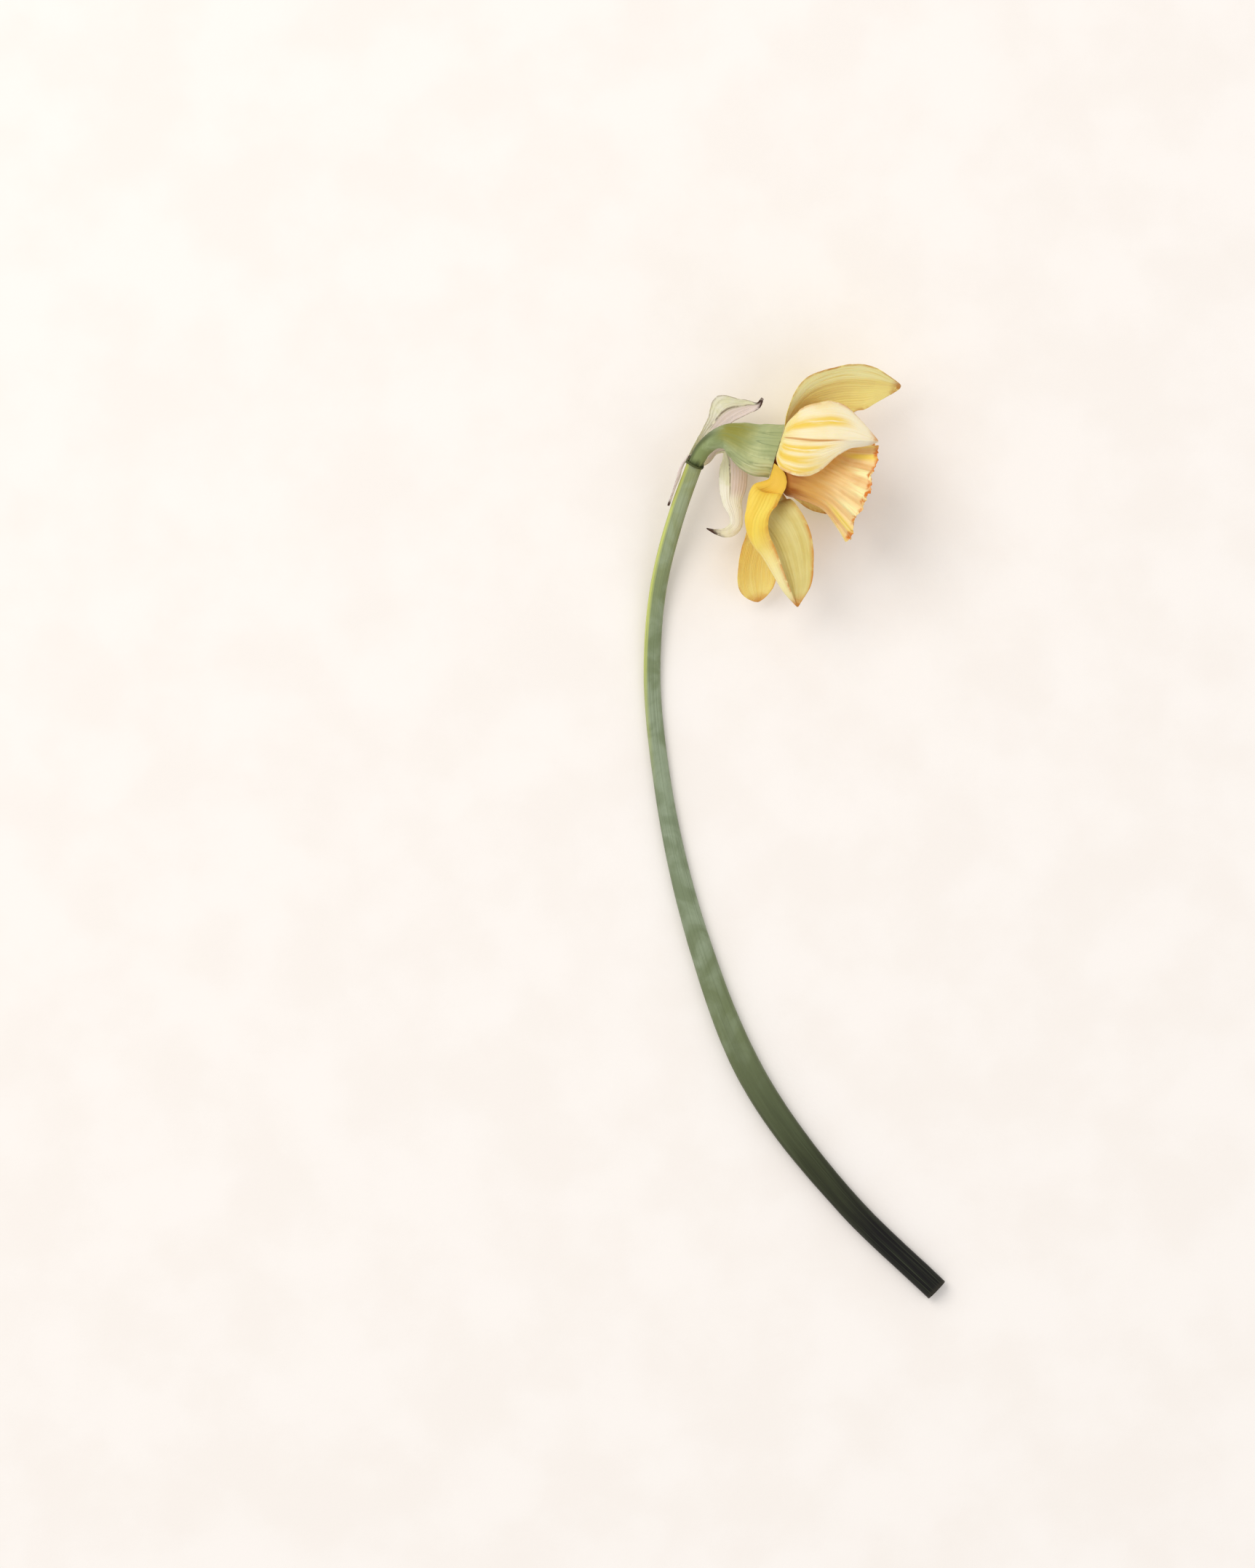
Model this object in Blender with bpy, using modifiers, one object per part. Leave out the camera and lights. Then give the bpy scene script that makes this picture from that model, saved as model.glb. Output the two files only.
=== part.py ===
"""A single cut daffodil lying on its side on a flat surface.

The row frame has its origin under the middle of the flower, at the height of
the surface. +Y runs up the stalk towards the bloom, +X is the way the trumpet
faces and +Z is up. Driving dimensions are in millimetres.
"""

import math
from typing import NamedTuple

import bmesh
import bpy
import numpy as np

MM = 0.001

# Space kept between two pieces that touch on the real flower
SEAT_GAP = 0.3

# Edges of the lofts that turn by more than this are shaded as sharp ones
SHARP_DEG = 50.0

# The bloom: its axis points from the green tube out of the trumpet's mouth
BLOOM_CENTRE = (-6.2, 125.1, 24.0)
BLOOM_TURN_DEG = -17.0

# The joint where the papery sheath grows and the neck begins
JOINT_CENTRE = (-32.9, 121.3, 15.2)
JOINT_DIRECTION = (0.43, 0.85, 0.32)

# Tepals, the six petal-like segments
TEPAL_THICK = 0.7
TEPAL_ROOT_RADIUS = 7.9
TEPAL_ROOT_AHEAD = 0.9
TEPAL_ROOT_HALF_WIDTH = 3.6
TEPAL_TIP_HALF_WIDTH = 0.5
TEPAL_TIP_POWERS = (2.2, 0.75)
TEPAL_CUP_GROWS_OVER = 0.35
TEPAL_RIPPLE_WAVES = 2.75
TEPAL_RIPPLE_SHIFT = 1.3
TEPAL_ROWS = 19
TEPAL_COLUMNS = 11

# The rolled margin of a tepal, in shares across it and along it
FOLD_PLACE = 0.3
FOLD_PLACE_AT_ROOT = -0.15
FOLD_REACH = 0.45
FOLD_FULL_AFTER = 0.14
FOLD_SETTLES_FROM = 0.08
FOLD_SETTLES_AFTER = 0.45

# Trumpet, the corona
TRUMPET_THICK = 0.8
TRUMPET_START = 0.5
TRUMPET_LENGTH = 30.5
TRUMPET_STATIONS = (0.0, 2.0, 4.0, 6.5, 10.0, 16.0, 21.0, 26.0, 30.5)
TRUMPET_RADII = (5.8, 6.2, 9.6, 11.9, 11.7, 11.0, 11.3, 13.9, 16.6)
TRUMPET_DROOP = 5.0
TRUMPET_DROOP_POWER = 1.4
TRUMPET_RIM_BULGE = 1.7
TRUMPET_BULGE_LEAN = 0.6
TRUMPET_LOBES = 6
TRUMPET_LOBE_DEPTH = 0.7
TRUMPET_LOBE_SHIFT = 0.4
TRUMPET_LOBE_REACH = 0.6
TRUMPET_FRILLS = 15
TRUMPET_FRILL_DEPTH = 0.7
TRUMPET_FRILL_SHIFT = 1.1
TRUMPET_ROWS = 11
TRUMPET_COLUMNS = 60

# Neck: flower stalk, seed pod and green tube, which grow as one
NECK_PATH = (
    JOINT_CENTRE,
    (-29.8, 126.4, 17.5),
    (-26.5, 129.0, 19.5),
    (-22.2, 129.8, 21.5),
    (-18.7, 128.6, 22.8),
    (-12.8, 125.8, 23.8),
    BLOOM_CENTRE,
)
NECK_RADII = (2.5, 2.7, 3.1, 4.5, 6.3, 8.4, 9.1)
NECK_RIBS = 12
NECK_RIB_DEPTH = 0.3
NECK_ROWS = 19
NECK_SIDES = 24
TUBE_BORE_RADIUS = 5.3
TUBE_BORE_DEPTH = 11.0
TUBE_FLOOR_RADIUS = 2.6
TUBE_BORE_ROWS = 5

# Stem, the leafless stalk: points up the page with the height of its underside
STEM_PATH = (
    (46.9, -150.5, 0.0),
    (17.6, -122.2, 0.0),
    (-13.8, -80.2, 0.0),
    (-31.6, -35.3, 0.0),
    (-43.8, 18.7, 0.0),
    (-46.9, 53.0, 0.3),
    (-45.0, 79.8, 2.6),
    (-38.2, 106.7, 8.6),
    (-32.9, 121.3, 13.3),
)
STEM_HALF_WIDTHS = (3.7, 3.8, 4.3, 3.5, 2.7, 2.6, 2.6, 2.6, 2.5)
STEM_FLATNESS = 0.78
STEM_EDGE_RISE = 0.05
STEM_SINK_SHARE = 0.13
STEM_ROWS = 38
STEM_SIDES = 16
STEM_PITH_SHARE = 0.5
STEM_PITH_FLOOR_SHARE = 0.7
STEM_PITH_DEPTH = 2.0

# Papery sheath: a collar round the joint that splits into two lobes
SHEATH_THICK = 0.6
SHEATH_COLLAR_RADIUS = 3.35
SHEATH_COLLAR_REACH = 1.5
SHEATH_COLUMNS = 7
SHEATH_ROWS = 27
SHEATH_BEND_DEG = 40.0
SHEATH_RIPPLE = 0.25
SHEATH_RIPPLE_TURN = 9.0
SHEATH_RIPPLE_GROWS_OVER = 0.2
SHEATH_UPPER_ROOT_DEG = 233.0
SHEATH_UPPER_PATH = (
    (-30.3, 128.0, 11.6),
    (-25.7, 133.0, 11.8),
    (-20.6, 137.0, 13.2),
    (-15.6, 139.4, 16.2),
    (-11.9, 140.6, 18.8),
    (-10.7, 142.6, 20.4),
)
SHEATH_UPPER_MARGINS = (
    (2.2, 4.0, 6.2, 9.4, 3.8, 0.9, 0.5),
    (1.2, 1.2, 1.6, 1.8, 1.8, 1.2, 0.5),
)
SHEATH_UPPER_ROLL_DEG = (0, -16, -32, -36, -40, -50, -50)
SHEATH_LOWER_ROOT_DEG = 307.0
SHEATH_LOWER_PATH = (
    (-28.0, 122.7, 9.1),
    (-25.6, 125.9, 8.5),
    (-22.6, 126.6, 8.2),
    (-20.6, 124.0, 8.4),
    (-20.0, 119.5, 9.0),
    (-20.2, 114.5, 9.2),
    (-20.5, 109.7, 9.3),
    (-19.4, 105.0, 9.4),
    (-19.4, 101.6, 9.8),
    (-22.0, 99.3, 10.8),
    (-25.5, 99.2, 12.0),
    (-29.0, 100.2, 13.4),
)
SHEATH_LOWER_MARGINS = (
    (1.6, 1.4, 1.5, 2.0, 3.8, 4.9, 4.9, 3.8, 2.4, 2.2, 1.8, 1.2, 0.5),
    (1.6, 1.4, 1.5, 2.0, 3.8, 4.9, 4.9, 3.8, 2.6, 2.4, 2.0, 1.2, 0.5),
)
SHEATH_LOWER_ROLL_DEG = (0, -5, -40, -66, -78, -80, -80, -80, -80, -80, -76, -70, -60)

# Stamens and pistil, along the bloom's axis from the tube's mouth
STAMEN_COUNT = 6
STAMEN_FIRST_TURN = 0.3
STAMEN_STATIONS = (-6.6, -2.0, 6.0, 8.0, 9.5, 13.0, 16.5, 18.0)
STAMEN_OFFSETS = (2.7, 3.1, 3.0, 2.9, 2.9, 2.9, 3.0, 3.1)
STAMEN_RADII = (0.5, 0.5, 0.5, 0.6, 1.1, 1.2, 1.0, 0.4)
STAMEN_ROWS = 12
STAMEN_SIDES = 6
LINING_START = -8.0
LINING_END = -5.0
LINING_THICK = 0.8
PISTIL_STATIONS = (-10.7, -9.0, 17.0, 19.0, 20.5, 21.5)
PISTIL_RADII = (1.0, 0.75, 0.75, 1.3, 1.6, 0.9)
PISTIL_LOBES = 3
PISTIL_LOBE_SHARE = 0.2
PISTIL_LOBES_FROM = 16.0
PISTIL_LOBES_GROW_OVER = 3.0
PISTIL_ROWS = 13
PISTIL_SIDES = 9


class Egg(NamedTuple):
    """Outline of a blade with a narrow claw, an egg-shaped part and a pointed tip."""

    half_width: float
    widest_at: float


class Margins(NamedTuple):
    """Outline given by the distances of the two margins from the spine, at even shares along it."""

    first: tuple
    second: tuple


class Tepal(NamedTuple):
    """One petal-like segment; its spine runs in the bloom's axes: along, up the page, up."""

    name: str
    angle_deg: float
    spine: tuple
    roll_deg: tuple
    outline: Egg | Margins
    cup_deg: float
    margin_roll_deg: float
    ripple: float
    colour: tuple


TEPALS = (
    Tepal(
        "tepal_front",
        25.0,
        (
            (0.6, 4.2, 11.5),
            (2.6, 4.4, 16.2),
            (8.5, 5.9, 18.6),
            (16.0, 8.1, 18.6),
            (23.5, 10.2, 16.6),
            (30.5, 12.1, 13.4),
        ),
        (0, 0, 0, 4, 8, 10, 10),
        Margins(
            (3.6, 7.2, 11.3, 12.3, 10.4, 6.1, 3.0, 2.0, 0.5),
            (3.6, 6.8, 11.0, 13.4, 14.5, 14.6, 13.0, 7.6, 0.5),
        ),
        42,
        0,
        0.2,
        (0.93, 0.85, 0.45),
    ),
    Tepal(
        "tepal_top",
        85.0,
        ((1.0, 13.5, 2.0), (5.0, 21.0, 3.4), (12.0, 26.4, 2.6), (22.0, 29.8, 0.4), (32.6, 32.1, -2.0)),
        (0, -15, -40, -52, -52, -45),
        Egg(10.5, 0.5),
        30,
        0,
        0.6,
        (0.88, 0.76, 0.30),
    ),
    Tepal(
        "tepal_lower_front",
        308.0,
        (
            (0.5, -9.6, 6.9),
            (-4.6, -13.4, 7.4),
            (-2.6, -20.6, 5.8),
            (8.8, -29.3, 4.0),
            (15.8, -38.3, 1.8),
            (21.4, -46.6, -2.0),
        ),
        (0, 0, 20, 35, 62, 70, 70),
        Margins(
            (3.6, 7.5, 11.0, 12.6, 12.5, 11.5, 9.6, 6.4, 0.5),
            (3.6, 8.6, 14.6, 16.4, 14.8, 12.0, 9.4, 6.2, 0.5),
        ),
        20,
        150,
        0.3,
        (0.90, 0.74, 0.24),
    ),
    Tepal(
        "tepal_lower_back",
        248.0,
        (
            (1.0, -9.8, -3.8),
            (0.8, -13.2, -4.8),
            (2.0, -19.4, -6.2),
            (3.8, -28.6, -9.2),
            (5.0, -39.2, -12.8),
            (8.8, -48.4, -17.8),
        ),
        (0, 0, 25, 55, 62, 62, 60),
        Egg(7.4, 0.74),
        20,
        0,
        0.5,
        (0.88, 0.68, 0.20),
    ),
    Tepal(
        "tepal_under",
        195.0,
        (
            (5.0, -3.0, -14.5),
            (12.0, -4.6, -20.5),
            (18.5, -6.8, -23.2),
            (25.5, -8.4, -23.7),
            (31.0, -9.4, -23.0),
        ),
        (0, 0, 0, 0, 0, 0),
        Egg(9.8, 0.5),
        24,
        0,
        0.2,
        (0.90, 0.78, 0.34),
    ),
    Tepal(
        "tepal_back",
        140.0,
        (
            (2.1, 11.0, -12.5),
            (5.0, 16.5, -18.5),
            (11.0, 22.0, -22.8),
            (18.0, 25.5, -23.7),
            (25.0, 28.0, -22.8),
        ),
        (0, -10, -25, -35, -35, -35),
        Egg(8.0, 0.5),
        24,
        0,
        0.2,
        (0.90, 0.78, 0.34),
    ),
)


def clear_scene():
    for obj in list(bpy.data.objects):
        bpy.data.objects.remove(obj, do_unlink=True)


def make_material(name, colour, roughness):
    material = bpy.data.materials.new(name)
    material.use_nodes = True
    shader = material.node_tree.nodes["Principled BSDF"]
    shader.inputs["Base Color"].default_value = (*colour, 1.0)
    shader.inputs["Roughness"].default_value = roughness
    shader.inputs["Metallic"].default_value = 0.0
    return material


def smooth_curve(values, stations, places):
    """Cubic Hermite curve through the values at the stations, read at the places."""
    values = np.asarray(values, float)
    stations = np.asarray(stations, float)
    slopes = np.gradient(values, stations, axis=0)
    index = np.clip(np.searchsorted(stations, places) - 1, 0, len(stations) - 2)
    span = stations[index + 1] - stations[index]
    t = (places - stations[index]) / span
    if values.ndim > 1:
        t, span = t[:, None], span[:, None]
    return (
        (2 * t**3 - 3 * t**2 + 1) * values[index]
        + (t**3 - 2 * t**2 + t) * span * slopes[index]
        + (3 * t**2 - 2 * t**3) * values[index + 1]
        + (t**3 - t**2) * span * slopes[index + 1]
    )


def path_through(points, count):
    """Smooth path of evenly spaced stations, with the control points' own places along it from 0 to 1."""
    points = np.asarray(points, float)
    chords = np.linalg.norm(np.diff(points, axis=0), axis=1)
    knots = np.concatenate([[0.0], np.cumsum(chords)])
    path = smooth_curve(points, knots, np.linspace(0.0, knots[-1], count))
    return path, knots / knots[-1]


def unit(vectors):
    return vectors / np.linalg.norm(vectors, axis=-1, keepdims=True)


def carried_frames(path, first_side):
    """Tangents, and side vectors that are carried along the path without turning about it."""
    tangents = unit(np.gradient(path, axis=0))
    sides = np.empty_like(path)
    side = np.asarray(first_side, float)
    for i, tangent in enumerate(tangents):
        side = unit(side - tangent * (side @ tangent))
        sides[i] = side
    return tangents, sides


def bloom_axes():
    """The bloom's axis, the direction up the page square to it, and straight up."""
    turn = math.radians(BLOOM_TURN_DEG)
    along = [math.cos(turn), math.sin(turn), 0.0]
    across = [-math.sin(turn), math.cos(turn), 0.0]
    return np.array([along, across, [0.0, 0.0, 1.0]])


def bloom_point(local):
    return np.asarray(BLOOM_CENTRE) + np.asarray(local, float) @ bloom_axes()


def joint_direction():
    return unit(np.asarray(JOINT_DIRECTION))


def pressed_flat(ring, point, normal):
    """Moves a ring's points onto the plane through the point."""
    return ring - np.outer((ring - point) @ normal, normal)


def smooth_step(x):
    x = np.clip(x, 0.0, 1.0)
    return x * x * (3 - 2 * x)


def full_turn(count):
    return np.linspace(0.0, 2 * np.pi, count, endpoint=False)


def running_sum(steps):
    """Trapezium sums along each row, zero at the middle column."""
    total = np.zeros_like(steps)
    total[:, 1:] = np.cumsum((steps[:, 1:] + steps[:, :-1]) / 2, axis=1)
    return total - total[:, [steps.shape[1] // 2]]


def blade_grid(path, first_side, roll, half_width, bend, lift):
    """Rows along the path; each one bends out of its flat line by the given angles and is lifted.

    The half width is given for every point, so that the two margins can differ.
    """
    tangents, sides = carried_frames(path, first_side)
    roll = roll[:, None]
    inner = np.cross(sides, tangents)
    sides, inner = (
        sides * np.cos(roll) + np.cross(tangents, sides) * np.sin(roll),
        inner * np.cos(roll) + np.cross(tangents, inner) * np.sin(roll),
    )
    step = 2 * half_width / (bend.shape[1] - 1)
    across = running_sum(np.cos(bend) * step)
    deep = running_sum(np.sin(bend) * step) + lift
    return path[:, None] + sides[:, None] * across[..., None] + inner[:, None] * deep[..., None]


def widths_each_side(first, second, u):
    """The first margin's distance before the middle, the second one's from it on."""
    return np.where(u < 0, first[:, None], second[:, None])


def tepal_width(v, u, outline):
    if isinstance(outline, Margins):
        first, second = (smooth_curve(side, np.linspace(0.0, 1.0, len(side)), v) for side in outline)
        return widths_each_side(first, second, u)
    rise = TEPAL_ROOT_HALF_WIDTH + (outline.half_width - TEPAL_ROOT_HALF_WIDTH) * np.sin(
        np.pi / 2 * np.clip(v / outline.widest_at, 0, 1)
    )
    fall = np.clip((v - outline.widest_at) / (1 - outline.widest_at), 0, 1)
    falls_by, sharpness = TEPAL_TIP_POWERS
    egg = TEPAL_TIP_HALF_WIDTH + (rise - TEPAL_TIP_HALF_WIDTH) * (1 - fall**falls_by) ** sharpness
    return widths_each_side(egg, egg, u)


def fold_share(u, v):
    """How far a margin is rolled over: nearly across the whole blade at its root, less further along."""
    settled = smooth_step((v - FOLD_SETTLES_FROM) / FOLD_SETTLES_AFTER)[:, None]
    place = FOLD_PLACE_AT_ROOT + (FOLD_PLACE - FOLD_PLACE_AT_ROOT) * settled
    return smooth_step((u - place) / FOLD_REACH) * smooth_step(v / FOLD_FULL_AFTER)[:, None]


def tepal_grid(tepal, rows, columns):
    """Cupped towards the inner face, rippled near the margins, pressed flat where it meets the floor."""
    angle = math.radians(tepal.angle_deg)
    outward = np.array([0.0, math.sin(angle), math.cos(angle)])
    root = outward * TEPAL_ROOT_RADIUS + [TEPAL_ROOT_AHEAD, 0, 0]
    path, knots = path_through((root, *tepal.spine), rows)
    v = np.linspace(0.0, 1.0, rows)
    u = np.linspace(-1.0, 1.0, columns)
    growth = smooth_step(v / TEPAL_CUP_GROWS_OVER)[:, None]
    bend = math.radians(tepal.cup_deg) * u * growth + math.radians(tepal.margin_roll_deg) * fold_share(u, v)
    swing = 2 * np.pi * TEPAL_RIPPLE_WAVES * v[:, None] + TEPAL_RIPPLE_SHIFT * np.sign(u)
    lift = tepal.ripple * growth * u**2 * np.sin(swing)
    roll = np.radians(smooth_curve(tepal.roll_deg, knots, v))
    first_side = (0.0, math.cos(angle), -math.sin(angle))
    width = tepal_width(v, u, tepal.outline)
    grid = bloom_point(blade_grid(path, first_side, roll, width, bend, lift))
    grid[..., 2] = np.maximum(grid[..., 2], TEPAL_THICK / 2)
    return grid


def sheath_grid(points, margins, roll_deg, first_side):
    """A lobe of the papery sheath, bent round the neck all along it."""
    path, knots = path_through(points, SHEATH_ROWS)
    v = np.linspace(0.0, 1.0, SHEATH_ROWS)
    u = np.linspace(-1.0, 1.0, SHEATH_COLUMNS)
    bend = math.radians(SHEATH_BEND_DEG) * u * np.ones_like(v)[:, None]
    growth = smooth_step(v / SHEATH_RIPPLE_GROWS_OVER)[:, None]
    lift = SHEATH_RIPPLE * growth * u**2 * np.sin(SHEATH_RIPPLE_TURN * v[:, None] + np.sign(u))
    first, second = (smooth_curve(side, knots, v) for side in margins)
    width = widths_each_side(first, second, u)
    return blade_grid(path, first_side, np.radians(smooth_curve(roll_deg, knots, v)), width, bend, lift)


def trumpet_grid(rows, columns):
    """A waisted, flaring tube whose lobes and frills deepen towards the rim."""
    t = np.linspace(0.0, 1.0, rows)[:, None]
    turn = full_turn(columns)[None]
    along = TRUMPET_START + t * (TRUMPET_LENGTH - TRUMPET_START)
    radius = smooth_curve(TRUMPET_RADII, TRUMPET_STATIONS, along[:, 0])[:, None]
    lobes = TRUMPET_LOBE_DEPTH * t**2 * np.cos(TRUMPET_LOBES * turn + TRUMPET_LOBE_SHIFT)
    frills = TRUMPET_FRILL_DEPTH * t**5 * np.cos(TRUMPET_FRILLS * turn + TRUMPET_FRILL_SHIFT)
    radius = radius + lobes + frills
    bulge = TRUMPET_RIM_BULGE * t**2 * np.cos(turn) ** 2 * (1 + TRUMPET_BULGE_LEAN * np.sin(turn))
    local = np.stack(
        [
            along + TRUMPET_LOBE_REACH * lobes + bulge,
            radius * np.sin(turn) - TRUMPET_DROOP * t**TRUMPET_DROOP_POWER,
            radius * np.cos(turn),
        ],
        axis=-1,
    )
    return bloom_point(local)


def grid_triangles(rows, columns, wrap):
    """Triangles between neighbouring rows, all split the same way."""
    faces = []
    last = columns if wrap else columns - 1
    for i in range(rows - 1):
        for j in range(last):
            a, b = i * columns + j, i * columns + (j + 1) % columns
            c, d = b + columns, a + columns
            faces += [(a, b, c), (a, c, d)]
    return faces


def add_object(name, points, faces, material, collection):
    mesh = bpy.data.meshes.new(name)
    mesh.from_pydata((np.asarray(points).reshape(-1, 3) * MM).tolist(), [], faces)
    mesh.materials.append(material)
    obj = bpy.data.objects.new(name, mesh)
    collection.objects.link(obj)
    mesh.shade_smooth()
    return obj


def add_sheet(name, grid, thickness, material, collection, wrap=False):
    """An open surface given its thickness evenly on both sides."""
    rows, columns = grid.shape[:2]
    obj = add_object(name, grid, grid_triangles(rows, columns, wrap), material, collection)
    solidify = obj.modifiers.new("thickness", "SOLIDIFY")
    solidify.thickness = thickness * MM
    solidify.offset = 0.0
    return obj


def add_loft(name, rings, material, collection):
    """A closed skin over rings of equal count, with a flat cap on the first and the last."""
    rings = np.asarray(rings)
    rows, sides = rings.shape[:2]
    faces = grid_triangles(rows, sides, True)
    faces.append(tuple(reversed(range(sides))))
    faces.append(tuple((rows - 1) * sides + j for j in range(sides)))
    obj = add_object(name, rings, faces, material, collection)
    mesh = bmesh.new()
    mesh.from_mesh(obj.data)
    bmesh.ops.recalc_face_normals(mesh, faces=mesh.faces)
    mesh.to_mesh(obj.data)
    mesh.free()
    obj.data.set_sharp_from_angle(angle=math.radians(SHARP_DEG))
    return obj


def fuse(name, pieces, material, collection):
    """Joins pieces that grow together into one object by a Boolean union."""
    first, *others = pieces
    group = bpy.data.collections.new(name + "_pieces")
    for piece in others:
        group.objects.link(piece)
        collection.objects.unlink(piece)
    union = first.modifiers.new("union", "BOOLEAN")
    union.operation = "UNION"
    union.operand_type = "COLLECTION"
    union.collection = group
    bpy.context.scene.collection.children.link(group)
    depsgraph = bpy.context.evaluated_depsgraph_get()
    mesh = bpy.data.meshes.new_from_object(first.evaluated_get(depsgraph))
    for piece in pieces:
        bpy.data.objects.remove(piece, do_unlink=True)
    bpy.data.collections.remove(group)
    mesh.name = name
    mesh.materials.clear()
    mesh.materials.append(material)
    obj = bpy.data.objects.new(name, mesh)
    collection.objects.link(obj)
    return obj


def stem_rings():
    """Up from the pith hole's floor in the cut, over the rim, and along the stem to the joint."""
    points, knots = path_through(STEM_PATH, STEM_ROWS)
    v = np.linspace(0.0, 1.0, STEM_ROWS)
    width = smooth_curve(STEM_HALF_WIDTHS, knots, v)
    path = points.copy()
    path[:, 2] += width * STEM_FLATNESS * (1 - STEM_SINK_SHARE)
    width = width[:, None]
    tangents = unit(np.gradient(path, axis=0))
    sides = unit(np.cross(tangents, (0.0, 0.0, 1.0)))
    ups = np.cross(sides, tangents)
    turn = full_turn(STEM_SIDES)[None]
    edge = 1 + STEM_EDGE_RISE * np.cos(2 * turn)
    rings = (
        path[:, None]
        + (width * edge * np.cos(turn))[..., None] * sides[:, None]
        + (width * edge * STEM_FLATNESS * np.sin(turn))[..., None] * ups[:, None]
    )
    rings[..., 2] = np.maximum(rings[..., 2], 0.0)
    direction = joint_direction()
    rings[-1] = pressed_flat(rings[-1], np.asarray(JOINT_CENTRE) - direction * SEAT_GAP, direction)
    centre = path[0]
    rim = centre + (rings[0] - centre) * STEM_PITH_SHARE
    floor = centre + (rim - centre) * STEM_PITH_FLOOR_SHARE + tangents[0] * STEM_PITH_DEPTH
    return np.concatenate([[floor], [rim], rings])


def neck_rings():
    """Outer rings from the joint to the tube's mouth, then back down inside the tube."""
    path, knots = path_through(NECK_PATH, NECK_ROWS)
    v = np.linspace(0.0, 1.0, NECK_ROWS)
    radii = smooth_curve(NECK_RADII, knots, v)[:, None]
    tangents, sides = carried_frames(path, (0.0, 0.0, 1.0))
    other = np.cross(tangents, sides)
    turn = full_turn(NECK_SIDES)
    rib_share = NECK_RIB_DEPTH / NECK_RADII[-1]
    radii = radii * (1 + rib_share * smooth_step((v - 0.5) * 2)[:, None] * np.cos(NECK_RIBS * turn))
    rings = (
        path[:, None]
        + (radii * np.cos(turn))[..., None] * sides[:, None]
        + (radii * np.sin(turn))[..., None] * other[:, None]
    )
    rings[0] = pressed_flat(rings[0], np.asarray(JOINT_CENTRE), joint_direction())
    rings[-1] = pressed_flat(rings[-1], np.asarray(BLOOM_CENTRE), bloom_axes()[0])
    depth = np.linspace(0.0, 1.0, TUBE_BORE_ROWS)
    return np.concatenate([rings, axial_rings(-depth * TUBE_BORE_DEPTH, bore_radius(depth), turn)])


def bore_radius(share):
    return TUBE_BORE_RADIUS + (TUBE_FLOOR_RADIUS - TUBE_BORE_RADIUS) * share


def axial_rings(stations, radii, turn, offset=(0.0, 0.0)):
    """Rings square to the bloom's axis, at the stations along it and moved off it by the offset."""
    stations = np.asarray(stations, float)[:, None] + 0 * turn
    radii = np.asarray(radii, float)
    radii = radii if radii.ndim > 1 else radii[:, None]
    across = -radii * np.sin(turn) + np.asarray(offset[0]).reshape(-1, 1)
    high = radii * np.cos(turn) + np.asarray(offset[1]).reshape(-1, 1)
    return bloom_point(np.stack([stations, across, high], axis=-1))


def stamen_rings(index):
    """Slender filament that ends in a long anther."""
    stations = np.linspace(STAMEN_STATIONS[0], STAMEN_STATIONS[-1], STAMEN_ROWS)
    offset = smooth_curve(STAMEN_OFFSETS, STAMEN_STATIONS, stations)
    radii = smooth_curve(STAMEN_RADII, STAMEN_STATIONS, stations)
    angle = 2 * math.pi * index / STAMEN_COUNT + STAMEN_FIRST_TURN
    moved = (offset * math.sin(angle), offset * math.cos(angle))
    return axial_rings(stations, radii, full_turn(STAMEN_SIDES), moved)


def pistil_rings():
    """Style with a stigma of three lobes."""
    stations = np.linspace(PISTIL_STATIONS[0], PISTIL_STATIONS[-1], PISTIL_ROWS)
    radii = smooth_curve(PISTIL_RADII, PISTIL_STATIONS, stations)[:, None]
    turn = full_turn(PISTIL_SIDES)
    grown = smooth_step((stations - PISTIL_LOBES_FROM) / PISTIL_LOBES_GROW_OVER)[:, None]
    lobed = 1 + PISTIL_LOBE_SHARE * grown * np.cos(PISTIL_LOBES * turn)
    return axial_rings(stations, radii * lobed, turn)


def build_stamens(material, collection):
    """Six stamens that grow from one lining of the tube."""
    stations = np.linspace(LINING_START, LINING_END, 3)
    clearance = SEAT_GAP + LINING_THICK / 2
    radii = bore_radius(-stations / TUBE_BORE_DEPTH) - clearance
    lining = axial_rings(stations, radii, full_turn(NECK_SIDES))
    pieces = [add_sheet("lining", lining, LINING_THICK, material, collection, wrap=True)]
    for index in range(STAMEN_COUNT):
        pieces.append(add_loft("stamen", stamen_rings(index), material, collection))
    return fuse("stamens", pieces, material, collection)


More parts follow.
